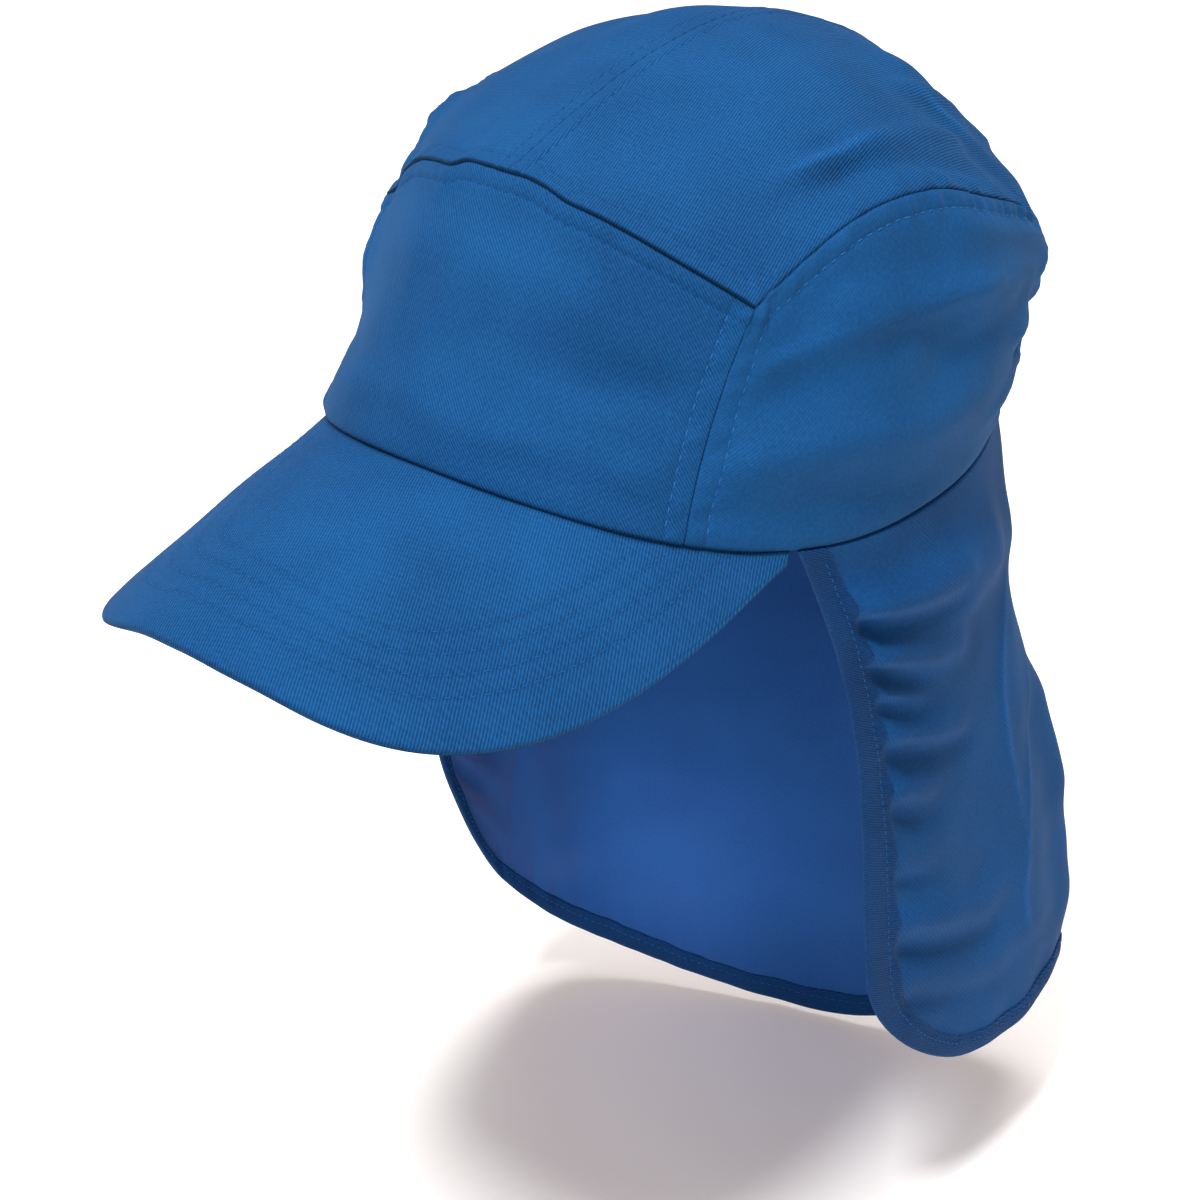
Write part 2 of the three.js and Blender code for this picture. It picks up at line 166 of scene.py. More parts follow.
def side_panel(u, v):
    p = patch(lambda a: rim(FRONT_SIDE + (TOP_SIDE - FRONT_SIDE) * a), lambda a: smooth(PLACES, SEAM, a * SIDE_TOP),
              front_seam, lambda a: smooth(PLACES, SEAM, 1 - (1 - SIDE_TOP) * a), u, v)
    inside = 16 * u * (1 - u) * v * (1 - v)
    return p + bulge(p, (1.6, 1, 0.4)) * ((SIDE_FULL + ridges(SIDE_FOLDS, u, v)) * inside)[..., None]


def peak_top(e, w):
    """e runs along the peak from the wearer's left corner to the right one, w from the crown out to the edge."""
    first = FLAP_FRONT - PEAK["trim"]
    t = first + (-180 - 2 * first) * e
    r = rim(t)
    plan = unit(r * np.array([1, 1, 0]))
    inner = r - 1.5 * plan - np.array([0, 0, 0.3])
    cx, cy, cz = rim(FLAP_FRONT)
    depth = RIM["half_length"] + cy + PEAK["reach"]
    lead = 0.035
    a = lead + (math.pi - 2 * lead) * e
    c, s, m = np.cos(a), np.sin(a), PEAK["squareness"]
    rad = (np.abs(c) ** m + np.abs(s) ** m) ** (-1 / m)
    x, y = cx * rad * c, cy - depth * rad * s
    edge = np.stack([x, y, cz - PEAK["slope"] * (cy - y) + PEAK["arch"] * (1 - (x / cx) ** 2)], -1)
    W = w[..., None]
    p = inner * (1 - W) + edge * W
    p[..., 2] += PEAK["crown"] * 4 * w * (1 - w) * np.minimum(1, np.minimum(6 * e, 6 * (1 - e)))
    return p


def flap_top(s):
    return rim(FLAP_FRONT + (180 - 2 * FLAP_FRONT) * s)


FLAP_PLACES = np.linspace(0, 1, len(FLAP))


def drop(s):
    return np.linalg.norm(smooth(FLAP_PLACES, FLAP[:, :3], s) - flap_top(s), axis=-1)


def flap_sheet(s, v):
    row = smooth(FLAP_PLACES, FLAP, s)
    V = v[..., None]
    p = flap_top(s) * (1 - V) + row[..., :3] * V
    p[..., :2] += row[..., 3:5] * (4 * V * (1 - V)) + row[..., 5:7] * np.sin(2 * math.pi * V)
    p[..., 2] -= 0.3
    return p


def flap_out(s, v):
    a = flap_sheet(np.minimum(1, s + 2e-3), v) - flap_sheet(np.maximum(0, s - 2e-3), v)
    return unit(np.stack([a[..., 1], -a[..., 0], 0 * a[..., 0]], -1))


# ------------------------------------------------------------------ folds and waves
# a ridge (height > 0) or dent (height < 0) along a line between two places of a piece
#             from u, v      to u, v       width, height
SIDE_FOLDS = [
    (0.10, 0.20, 0.55, 0.28, 0.16, -1.2),
    (0.25, 0.62, 0.75, 0.60, 0.22, 1.0),
]
FLAP_FOLDS = [
    (0.055, 0.115, 0.18, 0.125, 13.5, 5.8),
    (0.30, 0.03, 0.30, 0.06, 8, 0.9),
    (0.22, 0.20, 0.165, 0.42, 9, 1.2),
    (0.150, 0.50, 0.155, 0.80, 9, 1.4),
    (0.205, 0.48, 0.20, 0.84, 9, -1.5),
    (0.265, 0.02, 0.265, 0.19, 11, 2.3),
    (0.26, 0.27, 0.26, 0.38, 9, -1.3),
    (0.25, 0.48, 0.25, 0.62, 12, 2.2),
    (0.07, 0.40, 0.10, 0.62, 13, -1.4),
    (0.30, 0.55, 0.33, 0.90, 12, -1.6),
    (0.36, 0.30, 0.38, 0.86, 13, 2.2),
    (0.48, 0.15, 0.52, 0.90, 16, 2.0),
    (0.62, 0.25, 0.60, 0.95, 15, -1.8),
    (0.74, 0.10, 0.72, 0.90, 16, 2.0),
    (0.84, 0.55, 0.80, 0.85, 13, -1.6),
    (0.92, 0.10, 0.88, 0.50, 14, -1.6),
]
# sharp creases, drawn through several places
FLAP_CREASES = [
    ([(0.22, 0.21), (0.18, 0.29), (0.158, 0.38), (0.150, 0.50), (0.155, 0.66)], 1.6, 1.1),
    ([(0.225, 0.38), (0.173, 0.53), (0.147, 0.71), (0.150, 0.82)], 1.6, 1.0),
    ([(0.40, 0.30), (0.37, 0.48), (0.375, 0.70)], 1.8, 0.7),
    ([(0.66, 0.35), (0.68, 0.55), (0.665, 0.80)], 1.8, 0.7),
    ([(0.82, 0.62), (0.86, 0.76), (0.875, 0.90)], 2.4, 0.9),
]


def creases(table, u, v, su, sv):
    """Thin ridges with a soft hollow on one side, fading out at both ends, and a mask of painted highlight along the
    ridges.
    """
    total, painted_crease_highlight = 0.0, np.zeros(np.shape(u))
    for places, width, height in table:
        q = np.array(places)
        t = np.linspace(0, len(q) - 1, 60)
        line = smooth(np.arange(len(q)), q, t)
        d2 = np.full(np.shape(u), 1e9)
        best = np.zeros(np.shape(u))
        for k, (a, b) in enumerate(line):
            e2 = ((u - a) * su) ** 2 + ((v - b) * sv) ** 2
            best = np.where(e2 < d2, k / 59, best)
            d2 = np.minimum(d2, e2)
        fade = np.clip(4 * best * (1 - best), 0, 1) ** 0.7
        d = np.sqrt(d2 + 0.09)
        total = total + fade * height * (np.exp(-d / width) - 0.3 * np.exp(-d2 / (4.5 * width) ** 2))
        # painted highlight: a light line is laid along each raised crease
        if height > 0:
            painted_crease_highlight = np.maximum(painted_crease_highlight, fade * np.exp(-d2 / 0.9**2))
    return total, painted_crease_highlight


#               x, y, z of the middle, size, height
CROWN_BUMPS = [
    (-66.5, -15.5, 66.0, 8.5, 2.8),
    (-57.0, -5.0, 79.0, 10.0, -0.9),
    (-54.0, -46.0, 62.0, 9.0, -2.4),
    (-57.5, -53.5, 42.0, 9.0, 1.6),
    (-57.0, -60.5, 26.0, 9.0, -2.0),
    (-58.0, -70.0, 7.0, 7.0, 1.0),
    (67.0, 62.0, 49.0, 13.0, 0.3),
    (68.3, 73.9, 32.1, 8.0, 0.9),
    (71.0, 64.2, 20.5, 7.5, -4.6),
    (70.5, 56.0, 2.5, 6.0, -1.3),
    (70.9, 51.5, -4.0, 5.0, 0.8),
    (29.0, 59.0, 80.5, 12.0, 2.6),
    (46.5, 73.5, 60.5, 9.0, -2.5),
    (-45.0, -2.0, 88.0, 16.0, -1.2),
    (-30.0, 14.0, 92.0, 16.0, -0.6),
    (5.0, 61.0, 89.0, 18.0, -0.8),
]


def ridges(table, u, v, su=1.0, sv=1.0):
    total = 0.0
    for u0, v0, u1, v1, width, height in table:
        dx, dy = (u1 - u0) * su, (v1 - v0) * sv
        px, py = (u - u0) * su, (v - v0) * sv
        t = np.clip((px * dx + py * dy) / (dx * dx + dy * dy), 0, 1)
        total = total + height * np.exp(-((px - t * dx) ** 2 + (py - t * dy) ** 2) / width**2)
    return total


def waves(p, size, seed, terms=14):
    """Smooth irregular undulation of about unit height, by the place of a point in mm."""
    r = np.random.default_rng(seed)
    d = unit(r.normal(size=(terms, 3)))
    k = 2 * math.pi / (size * r.uniform(0.7, 1.6, terms))
    f = r.uniform(0, 2 * math.pi, terms)
    return np.sin((p @ d.T) * k + f).sum(-1) / math.sqrt(terms / 2) * 0.5


def bumps(p):
    """Places where the whole crown stands out or in, panels and seams alike."""
    total = 0.0
    for x, y, z, size, height in CROWN_BUMPS:
        total = total + height * np.exp(-((p - np.array([x, y, z])) ** 2).sum(-1) / size**2)
    return total


# ------------------------------------------------------------------ panels
class Panel:
    """A surface with the distances, in mm, from its four edges."""

    def __init__(self, point, n=97):
        self.point = point
        g = np.linspace(0, 1, n)
        u, v = np.meshgrid(g, g)
        p = point(u, v)
        zero = np.zeros((n, 1))
        self.lu = np.concatenate([zero, np.cumsum(np.linalg.norm(np.diff(p, axis=1), axis=2), 1)], 1)
        self.lv = np.concatenate([zero.T, np.cumsum(np.linalg.norm(np.diff(p, axis=0), axis=2), 0)], 0)
        self.n = n
        self.mean_u, self.mean_v = self.lu[:, -1].mean(), self.lv[-1].mean()
        mid = self.normal(np.array([0.5]), np.array([0.5]), raw=True)[0]
        self.sign = 1.0 if mid @ (point(np.array([0.5]), np.array([0.5]))[0] - np.array([0, 5, 20.0])) > 0 else -1.0

    def look(self, table, u, v):
        x, y = np.clip(u, 0, 1) * (self.n - 1), np.clip(v, 0, 1) * (self.n - 1)
        i, j = np.minimum(x.astype(int), self.n - 2), np.minimum(y.astype(int), self.n - 2)
        a, b = x - i, y - j
        return ((1 - a) * (1 - b) * table[j, i] + a * (1 - b) * table[j, i + 1]
                + (1 - a) * b * table[j + 1, i] + a * b * table[j + 1, i + 1])

    def tangents(self, u, v):
        h = 1.5e-3
        u0, u1, v0, v1 = np.maximum(u - h, 0), np.minimum(u + h, 1), np.maximum(v - h, 0), np.minimum(v + h, 1)
        return unit(self.point(u1, v) - self.point(u0, v)), unit(self.point(u, v1) - self.point(u, v0))

    def normal(self, u, v, raw=False):
        a, b = self.tangents(u, v)
        n = unit(np.cross(a, b))
        return n if raw else n * self.sign

    def edges(self, u, v):
        """Distances from the edges u = 0, u = 1, v = 0 and v = 1."""
        a, b = self.tangents(u, v)
        s = np.sqrt(np.clip(1 - (a * b).sum(-1) ** 2, 0.25, 1))
        lu, lv = self.look(self.lu, u, v), self.look(self.lv, u, v)
        one = np.ones_like(u)
        return lu * s, (self.look(self.lu, one, v) - lu) * s, lv * s, (self.look(self.lv, u, one) - lv) * s

    def place(self, edge, t, x):
        """(u, v) at the distance x mm in from an edge, t along it."""
        g = np.linspace(0, 1, 400)
        u, v = np.empty_like(t), np.empty_like(t)
        for k, (tt, xx) in enumerate(zip(t, np.broadcast_to(x, t.shape))):
            c = np.full_like(g, tt)
            uu, vv = (g, c) if edge in "lr" else (c, g)
            d = self.edges(uu, vv)["lrbt".index(edge)]
            d = np.maximum.accumulate(d) if edge in "lb" else np.maximum.accumulate(d[::-1])[::-1]
            s = np.interp(xx, d, g) if edge in "lb" else np.interp(xx, d[::-1], g[::-1])
            u[k], v[k] = (s, tt) if edge in "lr" else (tt, s)
        return u, v


def roll(x, r=1.1, depth=1.5):
    """Cloth turned down into a seam, by the distance from it."""
    t = np.clip(1 - x / r, 0, 1)
    return -depth * (1 - np.sqrt(np.clip(1 - t * t, 0, 1)))


def seam_profile(x, along, rows=(4.6,), seed=0, pucker=0.22, r=1.1, depth=1.5):
    """The welt, needle rows and small puckers beside a seam."""
    z = roll(x, r, depth) + 0.22 * np.exp(-(((x - 2.4) / 1.5) ** 2))
    for s in rows:
        z = z - 0.30 * np.exp(-(((x - s) / 0.55) ** 2))
    rnd = np.random.default_rng(seed)
    wave = 0.0
    for size in (5.2, 7.9, 11.7):
        wave = wave + np.sin(2 * math.pi * along / size + rnd.uniform(0, 6.28) + 0.9 * np.sin(2 * math.pi * along / (size * 4.3) + rnd.uniform(0, 6.28)))
    return z + pucker * wave / 1.7 * np.exp(-(((x - 3.4) / 3.0) ** 2))


def steps(length, coarse=1.8, fine_low=True, fine_high=True):
    """Parameters along a side of that length, close together by the seams."""
    fine = [0, 0.12, 0.3, 0.52, 0.8, 1.15, 1.6, 2.2, 2.8, 3.4, 3.9, 4.3, 4.7, 5.1, 5.6, 6.3, 7.3, 8.6]
    low = fine if fine_low else [0, 0.3, 0.8, 1.6, 2.8, 4.2, 6.0]
    high = fine if fine_high else [0, 0.3, 0.8, 1.6, 2.8, 4.2, 6.0]
    a, b = low[-1], length - high[-1]
    n = max(2, round((b - a) / coarse))
    return np.array(low + list(np.linspace(a, b, n + 1)[1:-1]) + [length - x for x in high[::-1]]) / length


# ------------------------------------------------------------------ meshes
def grid_object(name, outer, inner, uv, mirror=False, two_sided=False, painted_shading=None):
    """A closed shell from two facing grids of points in mm, with a cloth map in mm."""
    rows, cols = outer.shape[:2]
    pts = np.concatenate([outer.reshape(-1, 3), inner.reshape(-1, 3)])
    if mirror:
        pts = pts * np.array([-1, 1, 1])
    idx = np.arange(rows * cols).reshape(rows, cols)
    a, b, c, d = idx[:-1, :-1], idx[:-1, 1:], idx[1:, 1:], idx[1:, :-1]
    q1 = np.stack([a, b, c, d], -1).reshape(-1, 4)
    q2 = np.stack([a, d, c, b], -1).reshape(-1, 4) + rows * cols
    ring = np.concatenate([idx[0, :-1], idx[:-1, -1], idx[-1, :0:-1], idx[:0:-1, 0]])
    nxt = np.roll(ring, -1)
    q3 = np.stack([ring, ring + rows * cols, nxt + rows * cols, nxt], -1)
    quads = np.concatenate([q1, q2, q3])
    p = pts[quads[:, :3]]
    vol = (p[:, 0] * np.cross(p[:, 1], p[:, 2])).sum()
    p = pts[quads[:, [0, 2, 3]]]
    vol += (p[:, 0] * np.cross(p[:, 1], p[:, 2])).sum()
    if vol < 0:
        quads = quads[:, ::-1]
    uvs = np.concatenate([uv.reshape(-1, 2), uv.reshape(-1, 2)])
    if mirror:
        uvs = uvs * np.array([-1, 1])
    return mesh_object(name, pts * 0.001, quads, uvs, inside=(len(q1), 2 * len(q1)) if two_sided else None,
                       painted_shading=None if painted_shading is None else np.concatenate([painted_shading.ravel(), 0 * painted_shading.ravel()]))


def mesh_object(name, pts, faces, uvs=None, smooth_faces=True, inside=None, painted_shading=None):
    me = bpy.data.meshes.new(name)
    faces = np.asarray(faces, np.int32)
    n, k = faces.shape
    me.vertices.add(len(pts))
    me.vertices.foreach_set("co", np.asarray(pts, np.float32).ravel())
    me.loops.add(n * k)
    me.loops.foreach_set("vertex_index", faces.ravel())
    me.polygons.add(n)
    me.polygons.foreach_set("loop_start", np.arange(0, n * k, k, dtype=np.int32))
    me.polygons.foreach_set("use_smooth", np.full(n, smooth_faces))
    if inside:
        index = np.zeros(n, np.int32)
        index[inside[0]:inside[1]] = 1
        me.polygons.foreach_set("material_index", index)
    if uvs is not None:
        layer = me.uv_layers.new(name="cloth")
        layer.uv.foreach_set("vector", np.asarray(uvs, np.float32)[faces.ravel()].ravel())
    if painted_shading is not None:
        layer = me.attributes.new("painted_shading", "FLOAT", "POINT")
        layer.data.foreach_set("value", np.asarray(painted_shading, np.float32))
    me.update(calc_edges=True)
    me.validate()
    ob = bpy.data.objects.new(name, me)
    bpy.context.collection.objects.link(ob)
    return ob


def panel_object(name, panel, us, vs, shape, thick=1.2, mirror=False, uv_mid=False, dark=(0, 0, 0, 0), painted_crease_highlight=None):
    """shape(u, v, p, edges) gives the height in mm of the cloth over the plain surface."""
    u, v = np.meshgrid(us, vs)
    p = panel.point(u, v)
    e = panel.edges(u, v)
    n = panel.normal(u, v)
    q = p * np.array([-1, 1, 1]) if mirror else p
    outer = p + n * shape(u, v, p, e)[..., None] + outward(p) * bumps(q)[..., None]
    inner = outer - outward(p) * thick
    uu = panel.look(panel.lu, u, v)
    if uv_mid:
        uu = uu - 0.5 * panel.look(panel.lu, np.ones_like(u), v)
    uv = np.stack([uu, panel.look(panel.lv, u, v)], -1)
    # painted shade: the cloth's colour is darkened close to each seam and edge, by the strengths in dark for the left,
    # right, low and high edges
    painted_shading = -sum(k * np.exp(-((x / 0.42) ** 2)) for k, x in zip(dark, e))
    # painted highlight: the colour is lightened along the ridges of the listed creases
    if painted_crease_highlight:
        painted_shading = painted_shading + 0.6 * creases(painted_crease_highlight, u, v, panel.mean_u, panel.mean_v)[1]
    return grid_object(name, outer, inner, uv, mirror=mirror, painted_shading=painted_shading)


# ------------------------------------------------------------------ stitches
def resample(points, normals, step):
    d = np.concatenate([[0], np.cumsum(np.linalg.norm(np.diff(points, axis=0), axis=1))])
    n = max(2, int(d[-1] / step))
    s = np.linspace(0, d[-1], n + 1)
    f = lambda a: np.stack([np.interp(s, d, a[:, k]) for k in range(3)], 1)
    return f(points), unit(f(normals)), s


def stitch_rows(paths, pitch=3.1, length=2.35, radius=0.2, rise=0.16, sides=6, rings=5, seed=1):
    """Short threads laid end to end along each (points, normals) path, as one set of points and faces."""
    rnd = np.random.default_rng(seed)
    P, F, UV = [], [], []
    base = 0
    for points, normals in paths:
        d = np.concatenate([[0], np.cumsum(np.linalg.norm(np.diff(points, axis=0), axis=1))])
        count = int((d[-1] - length) / pitch)
        if count < 1:
            continue
        start = (d[-1] - count * pitch + pitch - length) / 2 + np.arange(count) * pitch
        start = start + rnd.uniform(-0.12, 0.12, count)
        long = length * rnd.uniform(0.92, 1.06, count)
        t = np.linspace(0, 1, rings)
        s = start[:, None] + long[:, None] * t[None]
        at = lambda a: np.stack([np.interp(s, d, a[:, k]) for k in range(3)], -1)
        c, n = at(points), unit(at(normals))
        tan = unit(np.gradient(c, axis=1))
        side = unit(np.cross(tan, n))
        n = unit(np.cross(side, tan))
        lift = rise * (4 * t * (1 - t)) ** 0.5 * 1.6 - 0.28
        wob = rnd.normal(0, 0.05, (count, 1, 1))
        c = c + n * lift[None, :, None] + side * wob
        fat = radius * (0.62 + 0.38 * (4 * t * (1 - t)) ** 0.4)
        ang = np.arange(sides) * 2 * math.pi / sides
        ring = c[:, :, None] + fat[None, :, None, None] * (side[:, :, None] * np.cos(ang)[None, None, :, None] + 0.85 * n[:, :, None] * np.sin(ang)[None, None, :, None])
        pts = ring.reshape(-1, 3)
        k = np.arange(count)[:, None, None] * rings * sides
        r0 = np.arange(rings - 1)[None, :, None] * sides
        j = np.arange(sides)[None, None]
        j2 = (j + 1) % sides
        quads = np.stack([k + r0 + j, k + r0 + j2, k + r0 + sides + j2, k + r0 + sides + j], -1).reshape(-1, 4)
        caps = []
        for first, flip in ((0, True), ((rings - 1) * sides, False)):
            o = np.arange(count)[:, None] * rings * sides + first
            c1 = np.concatenate([o + a for a in ((3, 2, 1, 0) if flip else (0, 1, 2, 3))], 1)
            c2 = np.concatenate([o + a for a in ((5, 4, 3, 0) if flip else (0, 3, 4, 5))], 1)
            caps += [c1, c2]
        P.append(pts)
        F.append(np.concatenate([quads] + caps) + base)
        uv = np.stack([np.broadcast_to(s[:, :, None], ring.shape[:3]).ravel(), np.broadcast_to(ang[None, None] * radius, ring.shape[:3]).ravel()], -1)
        UV.append(uv)
        base += len(pts)
    return np.concatenate(P), np.concatenate(F), np.concatenate(UV)


def stitch_object(name, paths, **kw):
    P, F, UV = stitch_rows(paths, **kw)
    return mesh_object(name, P * 0.001, F[:, ::-1], UV)


# ------------------------------------------------------------------ materials
def node(nt, kind, x, y, **values):
    n = nt.nodes.new(kind)
    n.location = (x, y)
    for k, v in values.items():
        setattr(n, k, v)
    return n


def twill(name, light, dark, angle, pitch=0.78, ridge=0.8, relief=0.13, fleck=0.3, sheen=0.07, rough=0.85, cross=1.5, tint=(0.15, 0.5, 1.0)):
    """Cotton twill: slanting ribs of short floats, a slow drift in the dye and small flecks. The cloth map is in mm."""
    m = bpy.data.materials.new(name)
    m.use_nodes = True
    nt = m.node_tree
    nt.nodes.clear()
    out = node(nt, "ShaderNodeOutputMaterial", 900, 0)
    b = node(nt, "ShaderNodeBsdfPrincipled", 620, 0)
    nt.links.new(b.outputs[0], out.inputs[0])
    b.inputs["Roughness"].default_value = rough
    b.inputs["Specular IOR Level"].default_value = 0.2
    b.inputs["Specular Tint"].default_value = (0.25, 0.6, 1.0, 1.0)
    b.inputs["Sheen Weight"].default_value = sheen
    b.inputs["Sheen Roughness"].default_value = 0.45
    b.inputs["Sheen Tint"].default_value = (*tint, 1.0)
    uv = node(nt, "ShaderNodeUVMap", -1500, 0, uv_map="cloth")
    turn = node(nt, "ShaderNodeMapping", -1300, 0)
    # the ribs' direction is turned onto the map's second axis
    turn.inputs["Rotation"].default_value = (0, 0, math.radians(90 - angle))
    nt.links.new(uv.outputs[0], turn.inputs[0])
    rib = node(nt, "ShaderNodeTexWave", -1050, 200, wave_type="BANDS", bands_direction="X", wave_profile="SIN")
    rib.inputs["Scale"].default_value = 2 * math.pi / (20 * pitch)
    rib.inputs["Distortion"].default_value = 0.8
    rib.inputs["Detail"].default_value = 1.0
    rib.inputs["Detail Scale"].default_value = 0.9
    nt.links.new(turn.outputs[0], rib.inputs[0])
    floats = node(nt, "ShaderNodeTexWave", -1050, -80, wave_type="BANDS", bands_direction="Y", wave_profile="SIN")
    floats.inputs["Scale"].default_value = 2 * math.pi / (20 * cross)
    floats.inputs["Distortion"].default_value = 2.2
    floats.inputs["Detail"].default_value = 2.0
    floats.inputs["Detail Scale"].default_value = 1.4
    nt.links.new(turn.outputs[0], floats.inputs[0])
    geo = node(nt, "ShaderNodeTexCoord", -1500, -500)
    drift = node(nt, "ShaderNodeTexNoise", -1050, -380)
    drift.inputs["Scale"].default_value = 26.0
    drift.inputs["Detail"].default_value = 3.0
    drift.inputs["Roughness"].default_value = 0.55
    nt.links.new(geo.outputs["Object"], drift.inputs[0])
    speck = node(nt, "ShaderNodeTexNoise", -1050, -640)
    speck.inputs["Scale"].default_value = 0.9
    speck.inputs["Detail"].default_value = 4.0
    speck.inputs["Roughness"].default_value = 0.75
    nt.links.new(uv.outputs[0], speck.inputs[0])
    # relief = rib + part of the floats
    height = node(nt, "ShaderNodeMath", -780, 60, operation="MULTIPLY_ADD")
    height.inputs[1].default_value = 0.16
    nt.links.new(floats.outputs["Fac"], height.inputs[0])
    nt.links.new(rib.outputs["Fac"], height.inputs[2])
    # colour
    mixf = node(nt, "ShaderNodeMath", -560, 200, operation="MULTIPLY_ADD")
    mixf.inputs[1].default_value = ridge
    mixf.inputs[2].default_value = 0.5 - ridge * 0.62
    nt.links.new(height.outputs[0], mixf.inputs[0])
    mixs = node(nt, "ShaderNodeMath", -360, 200, operation="MULTIPLY_ADD")
    mixs.inputs[1].default_value = fleck * 4
    sub = node(nt, "ShaderNodeMath", -560, -520, operation="SUBTRACT")
    sub.inputs[1].default_value = 0.5
    nt.links.new(speck.outputs["Fac"], sub.inputs[0])
    nt.links.new(sub.outputs[0], mixs.inputs[0])
    nt.links.new(mixf.outputs[0], mixs.inputs[2])
    mixd = node(nt, "ShaderNodeMath", -160, 200, operation="MULTIPLY_ADD", use_clamp=True)
    mixd.inputs[1].default_value = 0.9
    subd = node(nt, "ShaderNodeMath", -560, -360, operation="SUBTRACT")
    subd.inputs[1].default_value = 0.5
    nt.links.new(drift.outputs["Fac"], subd.inputs[0])
    nt.links.new(subd.outputs[0], mixd.inputs[0])
    nt.links.new(mixs.outputs[0], mixd.inputs[2])
    col = node(nt, "ShaderNodeMix", 60, 200, data_type="RGBA")
    col.inputs[6].default_value = (*dark, 1)
    col.inputs[7].default_value = (*light, 1)
    nt.links.new(mixd.outputs[0], col.inputs[0])
    # painted shading: this attribute scales the base colour, darker as painted shade along seams, edges and needle
    # grooves, lighter as painted highlight along crease ridges
    painted_shading = node(nt, "ShaderNodeAttribute", 60, -100, attribute_name="painted_shading")
    scale = node(nt, "ShaderNodeMath", 230, -60, operation="ADD")
    scale.inputs[1].default_value = 1.0
    nt.links.new(painted_shading.outputs["Fac"], scale.inputs[0])
    lit = node(nt, "ShaderNodeVectorMath", 400, 120, operation="SCALE")
    nt.links.new(col.outputs[2], lit.inputs[0])
    nt.links.new(scale.outputs[0], lit.inputs["Scale"])
    nt.links.new(lit.outputs[0], b.inputs["Base Color"])
    bump = node(nt, "ShaderNodeBump", 300, -200)
    bump.inputs["Strength"].default_value = 1.0
    bump.inputs["Distance"].default_value = relief * 0.001
    nt.links.new(height.outputs[0], bump.inputs["Height"])
    nt.links.new(bump.outputs[0], b.inputs["Normal"])
    return m


def thread_material(name, colour, ply=0.75, gloss=0.15):
    m = bpy.data.materials.new(name)
    m.use_nodes = True
    nt = m.node_tree
    nt.nodes.clear()
    out = node(nt, "ShaderNodeOutputMaterial", 900, 0)
    b = node(nt, "ShaderNodeBsdfPrincipled", 620, 0)
    nt.links.new(b.outputs[0], out.inputs[0])
    b.inputs["Roughness"].default_value = 0.5
    b.inputs["Specular IOR Level"].default_value = gloss
    b.inputs["Specular Tint"].default_value = (0.3, 0.65, 1.0, 1.0)
    uv = node(nt, "ShaderNodeUVMap", -900, 0, uv_map="cloth")
    w = node(nt, "ShaderNodeTexWave", -600, 0, wave_type="BANDS", bands_direction="DIAGONAL", wave_profile="SIN")
    w.inputs["Scale"].default_value = 2 * math.pi / (20 * 0.35)
    w.inputs["Distortion"].default_value = 0.4
    nt.links.new(uv.outputs[0], w.inputs[0])
    col = node(nt, "ShaderNodeMix", -200, 100, data_type="RGBA")
    col.inputs[6].default_value = (*[c * ply for c in colour], 1)
    col.inputs[7].default_value = (*colour, 1)
    nt.links.new(w.outputs["Fac"], col.inputs[0])
    nt.links.new(col.outputs[2], b.inputs["Base Color"])
    bump = node(nt, "ShaderNodeBump", 300, -200)
    bump.inputs["Distance"].default_value = 0.00005
    nt.links.new(w.outputs["Fac"], bump.inputs["Height"])
    nt.links.new(bump.outputs[0], b.inputs["Normal"])
    return m


def srgb(r, g, b):
    return tuple(((c / 255 + 0.055) / 1.055) ** 2.4 if c > 10 else c / 255 / 12.92 for c in (r, g, b))


LIGHT, DARK = srgb(24, 82, 138), srgb(14, 51, 92)
MAT_FRONT = twill("front_twill", LIGHT, DARK, 133, pitch=0.69, ridge=0.6, relief=0.09)
MAT_TOP = twill("top_twill", LIGHT, DARK, 100, pitch=0.70, ridge=0.7, relief=0.11)
MAT_SIDE = twill("side_twill", LIGHT, DARK, 46, pitch=0.78, ridge=0.25, relief=0.035)
MAT_PEAK = twill("peak_twill", LIGHT, DARK, 116, pitch=0.70, ridge=0.75, relief=0.12)
# the flap twill is a darker copy of the crown's twill: painted shade for the hanging flap, which faces less of the
# light
MAT_FLAP = twill("flap_twill", srgb(22, 76, 134), srgb(13, 47, 88), 112, pitch=0.9, ridge=0.25, relief=0.035, sheen=0.04)
# the flap's inner face is a lighter copy of the flap twill with more sheen: partly the cloth's wrong side, partly
# painted light for the light reaching inside the flap
MAT_FLAP_INSIDE = twill("flap_inside_twill", srgb(29, 80, 146), srgb(22, 62, 120), 112, pitch=0.9, ridge=0.3, relief=0.03, sheen=0.4, tint=(0.85, 0.75, 1.0))
MAT_BAND = twill("binding_ribs", srgb(17, 60, 112), srgb(11, 38, 78), -25, pitch=0.85)
MAT_THREAD = thread_material("thread", srgb(38, 98, 160))
MAT_THREAD_PEAK = thread_material("thread_mid", srgb(29, 87, 152), gloss=0.05)
MAT_THREAD_DARK = thread_material("thread_dark", srgb(20, 60, 116), gloss=0.05)


def dress(ob, material, slot, *nodes):
    ob.data.materials.append(material)
    if nodes:
        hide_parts(*nodes)
    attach(ob, "root")
    return ob


# ------------------------------------------------------------------ crown
front, top, side = Panel(front_panel), Panel(top_panel), Panel(side_panel)
top_other = Panel(lambda u, v: top_panel(u, v, -1))
ROW = 4.6  # needle rows from the seams


